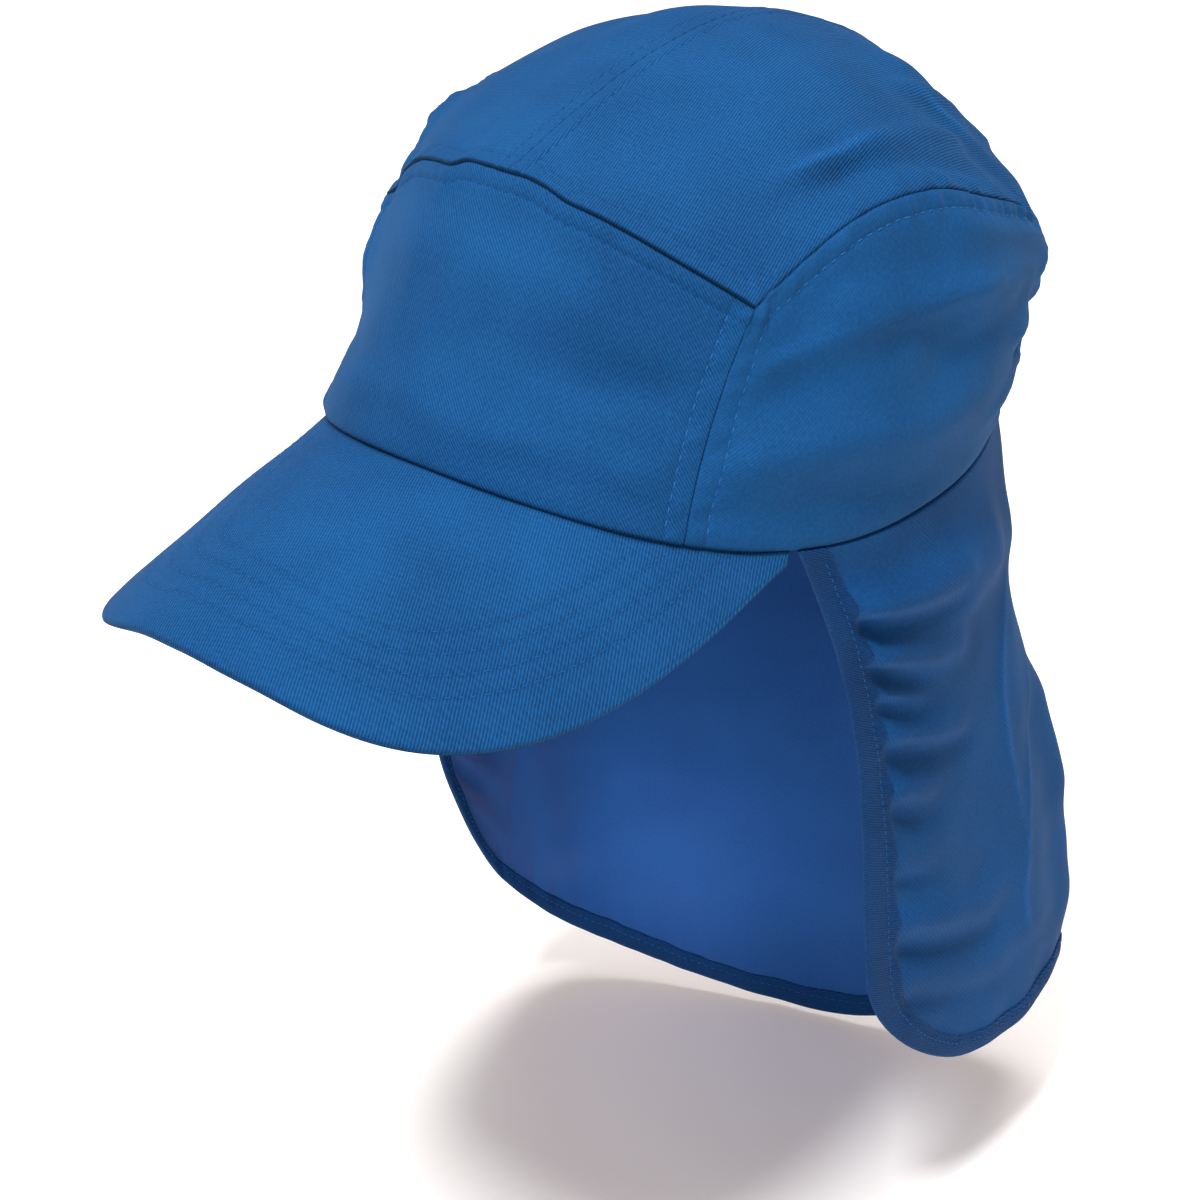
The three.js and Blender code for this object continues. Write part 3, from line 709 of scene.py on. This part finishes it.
def front_shape(u, v, p, e):
    left, right, low, high = e
    along = p[..., 0]
    z = seam_profile(high, along, rows=(ROW,), seed=3, pucker=0.2, r=0.9, depth=2.2)
    z = z + seam_profile(left, p[..., 2], rows=(ROW + 0.6,), seed=4, r=0.5, depth=0.5) + seam_profile(right, p[..., 2], rows=(ROW + 0.6,), seed=5, r=0.5, depth=0.5)
    z = z + roll(low, 1.3, 1.0) + 0.25 * np.exp(-(((low - 4) / 3) ** 2))
    inner = np.clip(np.minimum(np.minimum(left, right), np.minimum(low, high)) / 14, 0, 1)
    return z + inner * (0.75 * waves(p, 46, 11) + 0.22 * waves(p, 19, 12)) + ridges(FRONT_DENTS, u, v) * inner


FRONT_DENTS = [
    (0.80, 0.46, 0.99, 0.62, 0.07, -1.62),
    (0.90, 0.18, 0.98, 0.40, 0.05, 1.00),
    (0.50, 0.42, 0.80, 0.52, 0.10, -1.12),
    (0.30, 0.74, 0.66, 0.70, 0.12, 1.00),
    (0.55, 0.14, 0.86, 0.24, 0.08, 1.00),
    (0.06, 0.42, 0.16, 0.30, 0.08, -1.25),
    (0.12, 0.12, 0.40, 0.20, 0.08, 0.88),
]
TOP_DENTS = [
    (0.76, 0.17, 0.74, 0.48, 0.035, 1.70),
    (0.86, 0.20, 0.90, 0.44, 0.05, -2.04),
    (0.72, 0.24, 0.97, 0.20, 0.028, -1.53),
    (0.66, 0.30, 0.99, 0.29, 0.03, 1.19),
    (0.52, 0.50, 0.59, 0.67, 0.03, 1.36),
    (0.62, 0.50, 0.98, 0.56, 0.04, -1.53),
    (0.62, 0.64, 0.98, 0.62, 0.05, 1.53),
    (0.20, 0.30, 0.50, 0.22, 0.09, 0.85),
    (0.30, 0.74, 0.80, 0.78, 0.06, -1.53),
    (0.20, 0.86, 0.70, 0.90, 0.05, 1.36),
]
TOP_DENTS_RIGHT = [
    (0.20, 0.34, 0.60, 0.42, 0.09, 0.80),
    (0.35, 0.70, 0.80, 0.78, 0.06, -1.20),
    (0.60, 0.58, 0.95, 0.62, 0.05, 1.00),
]
SIDE_DENTS_RIGHT = [
    (0.22, 0.74, 0.50, 0.68, 0.06, 1.20),
    (0.40, 0.50, 0.70, 0.58, 0.06, -1.30),
    (0.60, 0.20, 0.86, 0.30, 0.05, 1.30),
]
SIDE_DENTS = [
    (0.09, 0.69, 0.57, 0.685, 0.035, 1.1),
    (0.06, 0.33, 0.50, 0.30, 0.11, 2.30),
    (0.22, 0.76, 0.50, 0.68, 0.06, 1.53),
    (0.12, 0.56, 0.40, 0.60, 0.07, -1.36),
    (0.14, 0.36, 0.40, 0.34, 0.08, 1.36),
    (0.42, 0.50, 0.70, 0.58, 0.06, -1.53),
    (0.60, 0.20, 0.86, 0.30, 0.05, 1.53),
    (0.66, 0.44, 0.92, 0.50, 0.045, 1.53),
    (0.70, 0.34, 0.95, 0.40, 0.035, -2.21),
    (0.55, 0.88, 0.90, 0.80, 0.05, 1.36),
    (0.02, 0.13, 0.34, 0.10, 0.07, -1.20),
]


TOP_CREASES = [
    ([(0.745, 0.16), (0.758, 0.22), (0.764, 0.29), (0.768, 0.38)], 1.7, 1.3),
    ([(0.53, 0.50), (0.617, 0.542), (0.71, 0.558)], 1.7, 1.1),
    ([(0.875, 0.14), (0.842, 0.212), (0.80, 0.28)], 2.2, -1.3),
]
SIDE_CREASES = [
    ([(0.735, 0.44), (0.742, 0.35), (0.733, 0.26), (0.71, 0.17)], 2.0, 0.9),
    ([(0.93, 0.72), (0.86, 0.62), (0.80, 0.55)], 2.0, 1.2),
]


def creased(shape, table, panel):
    def f(u, v, p, e):
        return shape(u, v, p, e) + creases(table, u, v, panel.mean_u, panel.mean_v)[0]
    return f


def top_shape(u, v, p, e, dents=TOP_DENTS):
    left, right, low, high = e
    z = seam_profile(left, p[..., 1], rows=(ROW - 0.6,), seed=6, pucker=0.10, r=0.4, depth=0.35)
    z = z + seam_profile(right, p[..., 1], rows=(), seed=7, pucker=0.5)
    z = z + seam_profile(low, p[..., 0], rows=(ROW + 0.4,), seed=8, pucker=0.18, r=0.5, depth=0.8) + 0.5 * np.exp(-((low / 3) ** 2))
    z = z + roll(high, 1.4, 1.3)
    inner = np.clip(np.minimum(np.minimum(left, right), np.minimum(low, high)) / 12, 0, 1)
    return z + inner * (0.6 * waves(p, 52, 21) + 0.28 * waves(p, 21, 22)) + ridges(dents, u, v) * inner


def top_shape_right(u, v, p, e):
    return top_shape(u, v, p, e, TOP_DENTS_RIGHT)


def side_shape(u, v, p, e, dents=SIDE_DENTS):
    left, right, low, high = e
    z = seam_profile(left, p[..., 2], rows=(ROW + 0.8,), seed=9, r=0.7, depth=0.8)
    z = z + seam_profile(right, p[..., 2], rows=(ROW,), seed=10) + seam_profile(high, p[..., 1], rows=(ROW + 0.6,), seed=13, pucker=0.4)
    z = z + roll(low, 1.2, 1.1) + 0.2 * np.exp(-(((low - 4) / 3) ** 2))
    inner = np.clip(np.minimum(np.minimum(left, right), np.minimum(low, high)) / 12, 0, 1)
    return z + inner * (0.7 * waves(p, 50, 31) + 0.3 * waves(p, 20, 32)) + ridges(dents, u, v) * inner


def side_shape_right(u, v, p, e):
    return side_shape(u, v, p, e, SIDE_DENTS_RIGHT)


def on_panel(panel, shape, edge, x, t0=0.0, t1=1.0, n=90, mirror=False):
    """A path of points and normals on the finished cloth, x mm in from an edge."""
    u, v = panel.place(edge, np.linspace(t0, t1, n), x)
    p = panel.point(u, v)
    nn = panel.normal(u, v)
    flip = np.array([-1, 1, 1]) if mirror else np.array([1, 1, 1])
    q = p + nn * shape(u, v, p, panel.edges(u, v))[..., None] + outward(p) * bumps(p * flip)[..., None]
    q, nn = q * flip, nn * flip
    return q, nn


f_us, f_vs = steps(front.mean_u, 1.8), steps(front.mean_v, 1.8, fine_low=False)
# dark gives the strength of the painted shade along each seam and edge of a panel
dress(panel_object("front_panel_cloth", front, f_us, f_vs, front_shape, uv_mid=True, dark=(0.04, 0.04, 0.6, 0.85)), MAT_FRONT, "crown_twill", "front_panel")
t_us, t_vs = steps(top.mean_u, 1.8), steps(top.mean_v, 1.8, fine_high=False)
s_us, s_vs = steps(side.mean_u, 1.8), steps(side.mean_v, 1.8, fine_low=False)
for mirror, hand in ((False, "left"), (True, "right")):
    top_cloth, side_cloth = (top_shape_right, side_shape_right) if mirror else (creased(top_shape, TOP_CREASES, top), creased(side_shape, SIDE_CREASES, side))
    dress(panel_object(f"top_panel_{hand}_cloth", top_other if mirror else top, t_us, t_vs, top_cloth, mirror=mirror, dark=(0, 0.4, 0.7, 0.3), painted_crease_highlight=None if mirror else TOP_CREASES), MAT_TOP, "crown_twill", f"top_panel_{hand}")
    dress(panel_object(f"side_panel_{hand}_cloth", side, s_us, s_vs, side_cloth, mirror=mirror, dark=(0.04, 0.4, 0.5, 0.3), painted_crease_highlight=None if mirror else SIDE_CREASES), MAT_SIDE, "crown_twill", f"side_panel_{hand}")

dark_rows = [on_panel(front, front_shape, "t", ROW, 0.03, 0.97)]
crown_rows = [
    on_panel(front, front_shape, "l", ROW + 0.6, 0.01, 0.97),
    on_panel(front, front_shape, "r", ROW + 0.6, 0.01, 0.97),
]
for mirror in (False, True):
    dark_rows += [
        on_panel(top_other if mirror else top, top_shape_right if mirror else top_shape, "l", ROW - 0.6, 0.02, 0.99, mirror=mirror),
        on_panel(top_other if mirror else top, top_shape_right if mirror else top_shape, "b", ROW + 0.4, 0.03, 0.97, mirror=mirror),
    ]
    crown_rows += [
        on_panel(side, side_shape_right if mirror else side_shape, "l", ROW + 0.8, 0.01, 0.95, mirror=mirror),
        on_panel(side, side_shape_right if mirror else side_shape, "t", ROW + 0.6, 0.03, 0.98, mirror=mirror),
        on_panel(side, side_shape_right if mirror else side_shape, "r", ROW, 0.02, 0.97, mirror=mirror),
    ]
dress(stitch_object("crown_stitches", crown_rows, seed=5, rise=0.23), MAT_THREAD, "crown_twill")
dress(stitch_object("crown_top_stitches", dark_rows, seed=15, radius=0.17), MAT_THREAD_DARK, "crown_twill")


# ------------------------------------------------------------------ peak
def peak_normal(e, w):
    h = 1e-3
    a = peak_cloth(np.minimum(1, e + h), w) - peak_cloth(np.maximum(0, e - h), w)
    b = peak_cloth(e, np.minimum(1, w + h)) - peak_cloth(e, np.maximum(0, w - h))
    n = unit(np.cross(a, b))
    return n * np.sign(n[..., 2:])


#                      e, how far the edge is drawn in, as a share of the reach
PEAK_TRIM = np.array([(0, 0), (0.28, 0), (0.34, 0.014), (0.40, 0.023), (0.46, 0.016), (0.52, 0.015), (0.58, 0.020), (0.63, 0.006), (0.68, -0.012), (0.73, -0.014), (0.80, 0), (1, 0)])
#                      e, outer row's distance from the edge, distance between rows, mm
PEAK_ROWS = np.array([(0, 8.5, 3.7), (0.22, 8.5, 3.7), (0.30, 9.6, 3.9), (0.38, 11.3, 4.5), (0.46, 12.3, 5.2), (0.64, 12.2, 6.0), (0.8, 11.2, 5.4), (1, 10.5, 5.0)])


def peak_cloth(e, w):
    """The peak's top face as sewn: its edge is a little in from the plain outline in places."""
    p = peak_top(e, w * (1 - smooth(PEAK_TRIM[:, 0], PEAK_TRIM[:, 1:], e)[..., 0]))
    p[..., 2] -= 1.7 * np.exp(-(((e - 0.88) / 0.08) ** 2)) * np.minimum(1, 4 * np.maximum(w, 0))
    return p


def peak_row(e, d):
    """0 on the outer needle row, 1 on the next one, and so on inward."""
    row = smooth(PEAK_ROWS[:, 0], PEAK_ROWS[:, 1:], e)
    return (d - row[..., 0]) / row[..., 1]


def peak_build():
    es = (1 - np.cos(np.linspace(0, math.pi, 171))) / 2 * 0.35 + np.linspace(0, 1, 171) * 0.65
    ws = np.concatenate([[-0.035, -0.015], np.linspace(0, 0.94, 142), 1 - 0.06 * np.array([0.75, 0.5, 0.34, 0.22, 0.13, 0.06, 0.02, 0])])
    e, w = np.meshgrid(es, ws)
    p, n = peak_cloth(e, w), peak_normal(e, w)
    edge = peak_cloth(es, np.ones_like(es))
    # how far in from the outer edge, from above
    from_edge = np.empty(e.shape)
    plan = edge[:, :2]
    for k in range(len(ws)):
        d = np.linalg.norm(p[k][:, None, :2] - plan[None], axis=2)
        from_edge[k] = d.min(1)
    r = 1.5
    t = np.clip(1 - from_edge / r, 0, 1)
    sag = r * (1 - np.sqrt(np.clip(1 - t * t, 0, 1)))
    row = peak_row(e, from_edge)
    groove = np.exp(-(((row - np.clip(np.round(row), 0, 3)) * 4.5 / 0.55) ** 2)) * np.clip((w - 0.05) / 0.03, 0, 1)
    z = -0.13 * groove
    z = z - 0.35 * np.exp(-((w * 60 / 2.0) ** 2)) + 0.2 * waves(p, 30, 41) + 0.1 * np.exp(-(((from_edge - 3.5) / 1.6) ** 2))
    thick = PEAK["thick"] * (0.5 + 0.5 * np.minimum(1, np.minimum(10 * e, 10 * (1 - e))))
    outer = p + n * (z - sag * thick / 3)[..., None]
    inner = p - n * (thick * (1 - sag / 3 * 1.0))[..., None]
    uv = np.stack([p[..., 0], p[..., 1] * 1.04], -1)
    # painted shade: the colour is darkened in the needle grooves and along the peak's edge
    return grid_object("peak_cloth", outer, inner, uv, painted_shading=-0.14 * groove - 0.4 * np.exp(-((from_edge / 0.5) ** 2))), plan, edge


peak_ob, peak_plan, peak_edge = peak_build()
dress(peak_ob, MAT_PEAK, "peak_twill", "peak")


def peak_paths():
    """Needle rows that follow the peak's edge at even distances, laid on its top face."""
    e, w = np.meshgrid(np.linspace(0, 1, 321), np.linspace(0, 1, 161))
    p = peak_cloth(e, w)
    d = np.empty(e.shape)
    for k in range(e.shape[0]):
        d[k] = np.linalg.norm(p[k][:, None, :2] - peak_plan[None], axis=2).min(1)
    n, q = peak_normal(e, w), peak_row(e, d)
    paths = []
    for row in range(4):
        pts, nor = [], []
        for i in range(e.shape[1]):
            col = q[:, i]
            ok = np.where((col[:-1] >= row) & (col[1:] < row))[0]
            if len(ok):
                j = ok[-1]
                f = (col[j] - row) / (col[j] - col[j + 1])
                pts.append(p[j, i] * (1 - f) + p[j + 1, i] * f)
                nor.append(n[j, i])
        pts, nor = np.array(pts), np.array(nor)
        k = np.ones(9) / 9
        for _ in range(2):
            for c in range(3):
                pts[4:-4, c] = np.convolve(pts[:, c], k, "valid")
        paths.append((pts + nor * (0.2 * waves(pts, 30, 41) - 0.12)[:, None], nor))
    return paths


peak_rows = peak_paths()
dress(stitch_object("peak_stitches", peak_rows, seed=6, rise=0.19, radius=0.17), MAT_THREAD_PEAK, "peak_twill")


# ------------------------------------------------------------------ neck flap
# short gathers that run back and down from the binding: v at the binding, s and v of the far end, height, width in mm
GATHERS = [
    (0.092, 0.125, 0.100, 3.2, 4.4), (0.136, 0.115, 0.150, -2.6, 3.4), (0.178, 0.105, 0.222, 3.6, 4.2), (0.216, 0.066, 0.248, -1.9, 2.6),
    (0.250, 0.060, 0.272, 2.0, 2.6), (0.284, 0.056, 0.303, -1.4, 2.6), (0.322, 0.095, 0.352, 2.5, 4.0), (0.370, 0.095, 0.390, -1.9, 3.6),
    (0.425, 0.060, 0.440, 2.7, 3.6), (0.478, 0.060, 0.498, -1.7, 4.2), (0.548, 0.064, 0.565, 1.0, 5.6), (0.602, 0.055, 0.614, -1.5, 3.6),
    (0.676, 0.100, 0.700, 2.4, 4.6), (0.738, 0.105, 0.765, -1.9, 4.0), (0.795, 0.110, 0.830, 1.1, 4.6), (0.850, 0.100, 0.880, -0.9, 3.6),
]


def gathers(s, v, length, table):
    x = s * FLAP_WIDTH - BAND
    z = 0.0
    for v0, s1, v1, height, width in table:
        ax, ay = 0.0, v0 * length
        bx, by = s1 * FLAP_WIDTH - BAND, v1 * length
        dx, dy = bx - ax, by - ay
        t = np.clip(((x - ax) * dx + (v * length - ay) * dy) / (dx * dx + dy * dy), 0, 1)
        d2 = (x - ax - t * dx) ** 2 + (v * length - ay - t * dy) ** 2
        z = z + height * (1 - 0.6 * t) * np.exp(-d2 / (width * (1 + 0.35 * t)) ** 2)
    return z * np.clip((x + 2.5) / 5, 0, 1)


def flap_height(s, v):
    """Folds of the hanging cloth over the plain sheet."""
    L = drop(s)
    hang = np.minimum(1, 6 * v)
    p = flap_sheet(s, v)
    z = (ridges(FLAP_FOLDS, s, v, FLAP_WIDTH, L) + creases(FLAP_CREASES, s, v, FLAP_WIDTH, 215.0)[0]) * hang
    d = v * L
    z = z + 1.5 * gathers(s, v, L, GATHERS) + 1.0 * gathers(1 - s, 1.04 * v - 0.03, L, GATHERS)
    # the hem is drawn in a little by its binding, and turns under towards the back corner
    up = L - d - BAND
    x = s * FLAP_WIDTH
    small = np.sin(x / 2.1 + 2 * np.sin(x / 19)) + 0.8 * np.sin(x / 3.3 + 1.7 * np.sin(x / 31) + 2)
    z = z + 0.22 * small * np.exp(-((up / 9) ** 2)) * np.clip((s - 0.03) / 0.05, 0, 1) * np.clip((0.97 - s) / 0.05, 0, 1)
    curl = np.clip((s - 0.13) / 0.06, 0, 1) * np.clip((0.42 - s) / 0.1, 0, 1)
    z = z + curl * (1.6 * np.exp(-(((up - 22) / 12) ** 2)) + 1.0 * np.clip(1 - (up + BAND) / 30, 0, 1))
    soft = np.clip(d / 25, 0, 1)
    return z + soft * (1.0 * waves(p * np.array([1, 1, 0.45]), 60, 51) + 0.3 * waves(p, 24, 52))


def flap_point(s, v, depth=0.0):
    z = flap_height(s, v) - depth
    return flap_sheet(s, v) + flap_out(s, v) * z[..., None]


def hem_line(inset, n_corner=18, n_middle=300):
    """Places along the flap's lower outline, a distance in from it."""
    a = np.linspace(0, math.pi / 2, n_corner + 1)
    ds = inset / FLAP_WIDTH
    s1 = CORNER_ACROSS - (CORNER_ACROSS - ds) * np.cos(a)
    v1 = 1 - CORNER_UP + (CORNER_UP - inset / drop(s1)) * np.sin(a)
    s2 = CORNER_ACROSS + (1 - 2 * CORNER_ACROSS) * np.linspace(0, 1, n_middle + 1)[1:-1]
    v2 = 1 - inset / drop(s2)
    s3 = 1 - CORNER_ACROSS + (CORNER_ACROSS - ds) * np.sin(a)
    v3 = 1 - CORNER_UP + (CORNER_UP - inset / drop(s3)) * np.cos(a)
    return np.concatenate([s1, s2, s3]), np.concatenate([v1, v2, v3])


def band_line(inset, n_edge=110):
    s, v = hem_line(inset)
    r = np.linspace(0, 1, n_edge + 1)[:-1]
    return (np.concatenate([np.full(n_edge, s[0]), s, np.full(n_edge, s[-1])]),
            np.concatenate([v[0] * r, v, v[-1] * r[::-1]]))


def flap_build():
    s, v = hem_line(BAND - 2.5)
    r = np.concatenate([np.array([-5, -2.5, -0.8, 0, 0.3, 0.7, 1.2, 1.9, 2.8, 4, 5.5, 7.5]) / 215, np.linspace(9.5 / 215, 1, 118)])
    S = np.broadcast_to(s, (len(r), len(s)))
    V = r[:, None] * v[None]
    d = V * drop(S)
    top_roll = roll(d, 1.2, 1.2) - 0.5 * np.clip(-d, 0, 3)
    outer = flap_point(S, V) + flap_out(S, V) * top_roll[..., None]
    inner = outer - flap_out(S, V) * 0.9
    uv = np.stack([S * FLAP_WIDTH, -d], -1)
    # painted highlight along the ridges of the flap's creases
    painted_crease_highlight = creases(FLAP_CREASES, S, V, FLAP_WIDTH, 215.0)[1]
    return grid_object("neck_flap_cloth", outer, inner, uv, two_sided=True, painted_shading=0.6 * painted_crease_highlight), outer


flap_ob, flap_grid = flap_build()


def band_build():
    # section of the folded strip: distance in from the edge, height over the flap's face on both sides
    ins = np.array([BAND, BAND - 0.15, BAND - 0.5, BAND - 1.1, BAND - 1.7, BAND - 2.3, BAND - 3.0, BAND - 3.6, 4.4, 3.2, 2.0, 1.0, 0.4, 0.1, 0.0])
    up = np.array([0.02, 0.35, 0.58, 0.62, 0.42, 0.55, 0.42, 0.62, 0.66, 0.66, 0.62, 0.5, 0.28, 0.05, -0.35])
    lines = [band_line(i) for i in ins]
    S, V = np.stack([a for a, _ in lines]), np.stack([b for _, b in lines])
    along = np.concatenate([[0], np.cumsum(np.linalg.norm(np.diff(flap_sheet(S[-1], V[-1]), axis=0), axis=1))])
    ripple = 0.10 * np.sin(2 * math.pi * along / 6.1 + 2 * np.sin(along / 23)) + 0.07 * np.sin(2 * math.pi * along / 3.4 + 1.3 * np.sin(along / 17))
    mid = np.exp(-(((ins - 5.5) / 2.6) ** 2))[:, None]
    face = flap_point(S, V)
    out = flap_out(S, V)
    outer = face + out * (up[:, None] + ripple[None] * mid)[..., None]
    inner = face - out * (0.9 + np.maximum(up[:, None], 0.02) - ripple[None] * mid * 0.5)[..., None]
    uv = np.stack([S * FLAP_WIDTH, -V * drop(S)], -1)
    return grid_object("flap_binding_cloth", outer, inner, uv)


band_ob = band_build()


def band_path(inset, height):
    s, v = band_line(inset)
    p = flap_point(s, v)
    n = flap_out(s, v)
    keep = slice(2, -2)
    return (p + n * height)[keep], n[keep]


def band_thread(name, inset, seed, **kw):
    """A row through the binding, with its thread on both faces."""
    (p, n), (q, m) = band_path(inset, 0.56), band_path(inset, -1.46)
    return stitch_object(name, [(p, n), (q, -m)], seed=seed, pitch=2.6, length=1.9, **kw)


band_stitches = band_thread("binding_stitches", BAND - 3.0, 7, radius=0.19, rise=0.2)
band_needle = band_thread("binding_needle_row", BAND - 1.7, 8, radius=0.15)
dress(flap_ob, MAT_FLAP, "flap_twill", "neck_flap")
flap_ob.data.materials.append(MAT_FLAP_INSIDE)
dress(band_ob, MAT_BAND, "binding_tape", "flap_binding")
dress(band_stitches, MAT_THREAD_PEAK, "binding_tape")
dress(band_needle, MAT_THREAD_DARK, "binding_tape")

# ------------------------------------------------------------------ floor, light and camera
FLOOR_Z = -0.2725
me = bpy.data.meshes.new("floor")
me.from_pydata([(-6, -6, FLOOR_Z), (6, -6, FLOOR_Z), (6, 6, FLOOR_Z), (-6, 6, FLOOR_Z)], [], [(0, 1, 2, 3)])
floor = bpy.data.objects.new("floor", me)
bpy.context.collection.objects.link(floor)
fm = bpy.data.materials.new("floor_paper")
fm.use_nodes = True
fb = fm.node_tree.nodes["Principled BSDF"]
fb.inputs["Base Color"].default_value = (0.95, 0.94, 0.93, 1)
fb.inputs["Emission Color"].default_value = (1.0, 0.80, 0.70, 1)
fb.inputs["Emission Strength"].default_value = 0.145
fb.inputs["Roughness"].default_value = 0.9
fb.inputs["Specular IOR Level"].default_value = 0.1
me.materials.append(fm)

scene = bpy.context.scene
world = bpy.data.worlds.new("studio")
scene.world = world
world.use_nodes = True
bg = world.node_tree.nodes["Background"]
bg.inputs[0].default_value = (1.0, 0.90, 0.84, 1)
bg.inputs[1].default_value = 0.37


def area_light(name, at, to, size, power, colour=(1, 1, 1)):
    d = bpy.data.lights.new(name, "AREA")
    d.shape = "DISK"
    d.size = size
    d.energy = power
    d.color = colour
    o = bpy.data.objects.new(name, d)
    o.location = at
    o.rotation_euler = (Vector(to) - Vector(at)).to_track_quat("-Z", "Y").to_euler()
    bpy.context.collection.objects.link(o)
    return o


def spot_light(name, at, to, angle, power, colour, size):
    d = bpy.data.lights.new(name, "SPOT")
    d.energy = power
    d.color = colour
    d.spot_size = math.radians(angle)
    d.spot_blend = 1.0
    d.shadow_soft_size = size
    o = bpy.data.objects.new(name, d)
    o.location = at
    o.rotation_euler = (Vector(to) - Vector(at)).to_track_quat("-Z", "Y").to_euler()
    bpy.context.collection.objects.link(o)
    return o


def from_camera(turn, height, far):
    """A place round the object: degrees to the camera's left, degrees up, metres away."""
    a = math.radians(PHI - turn)
    e = math.radians(height)
    return (far * math.sin(a) * math.cos(e), -far * math.cos(a) * math.cos(e), far * math.sin(e))


PHI, THETA, ROLL, DIST, LENS, OX, OY = 39.453, 30.7, -0.108, 0.597757, 2217.247 / 1200 * 36, 0.019102, 0.055598
ph, th, ro = map(math.radians, (PHI, THETA, ROLL))
cu = Vector((math.cos(ph), math.sin(ph), 0))
cw = Vector((math.sin(ph) * math.cos(th), -math.cos(ph) * math.cos(th), math.sin(th)))
cv = cw.cross(cu)
ru, rv = cu * math.cos(ro) + cv * math.sin(ro), cv * math.cos(ro) - cu * math.sin(ro)
area_light("key", from_camera(31, 65, 6.0), (0, 0, -0.05), 0.9, 285)
area_light("overhead", (0.1, 0.1, 2.4), (0, 0, 0), 1.5, 48)
area_light("fill", from_camera(39, 26, 3.0), (0, 0, -0.1), 0.6, 18)
spot_light("low", from_camera(12, 3, 1.6), (-0.050, 0.067, -0.226), 3.9, 120, (1.0, 0.78, 0.76), 0.04)
cam_data = bpy.data.cameras.new("camera")
cam_data.sensor_width = 36
cam_data.sensor_fit = "HORIZONTAL"
cam_data.lens = LENS
cam_data.clip_start = 0.01
cam_data.clip_end = 50
cam = bpy.data.objects.new("camera", cam_data)
bpy.context.collection.objects.link(cam)
m = Matrix.Identity(4)
for i, axis in enumerate((ru, rv, cw)):
    for j in range(3):
        m[j][i] = axis[j]
place = cw * DIST - ru * OX - rv * OY
for j in range(3):
    m[j][3] = place[j]
cam.matrix_world = m
scene.camera = cam
scene.view_settings.view_transform = "Standard"
scene.view_settings.look = "None"

bpy.context.view_layer.update()
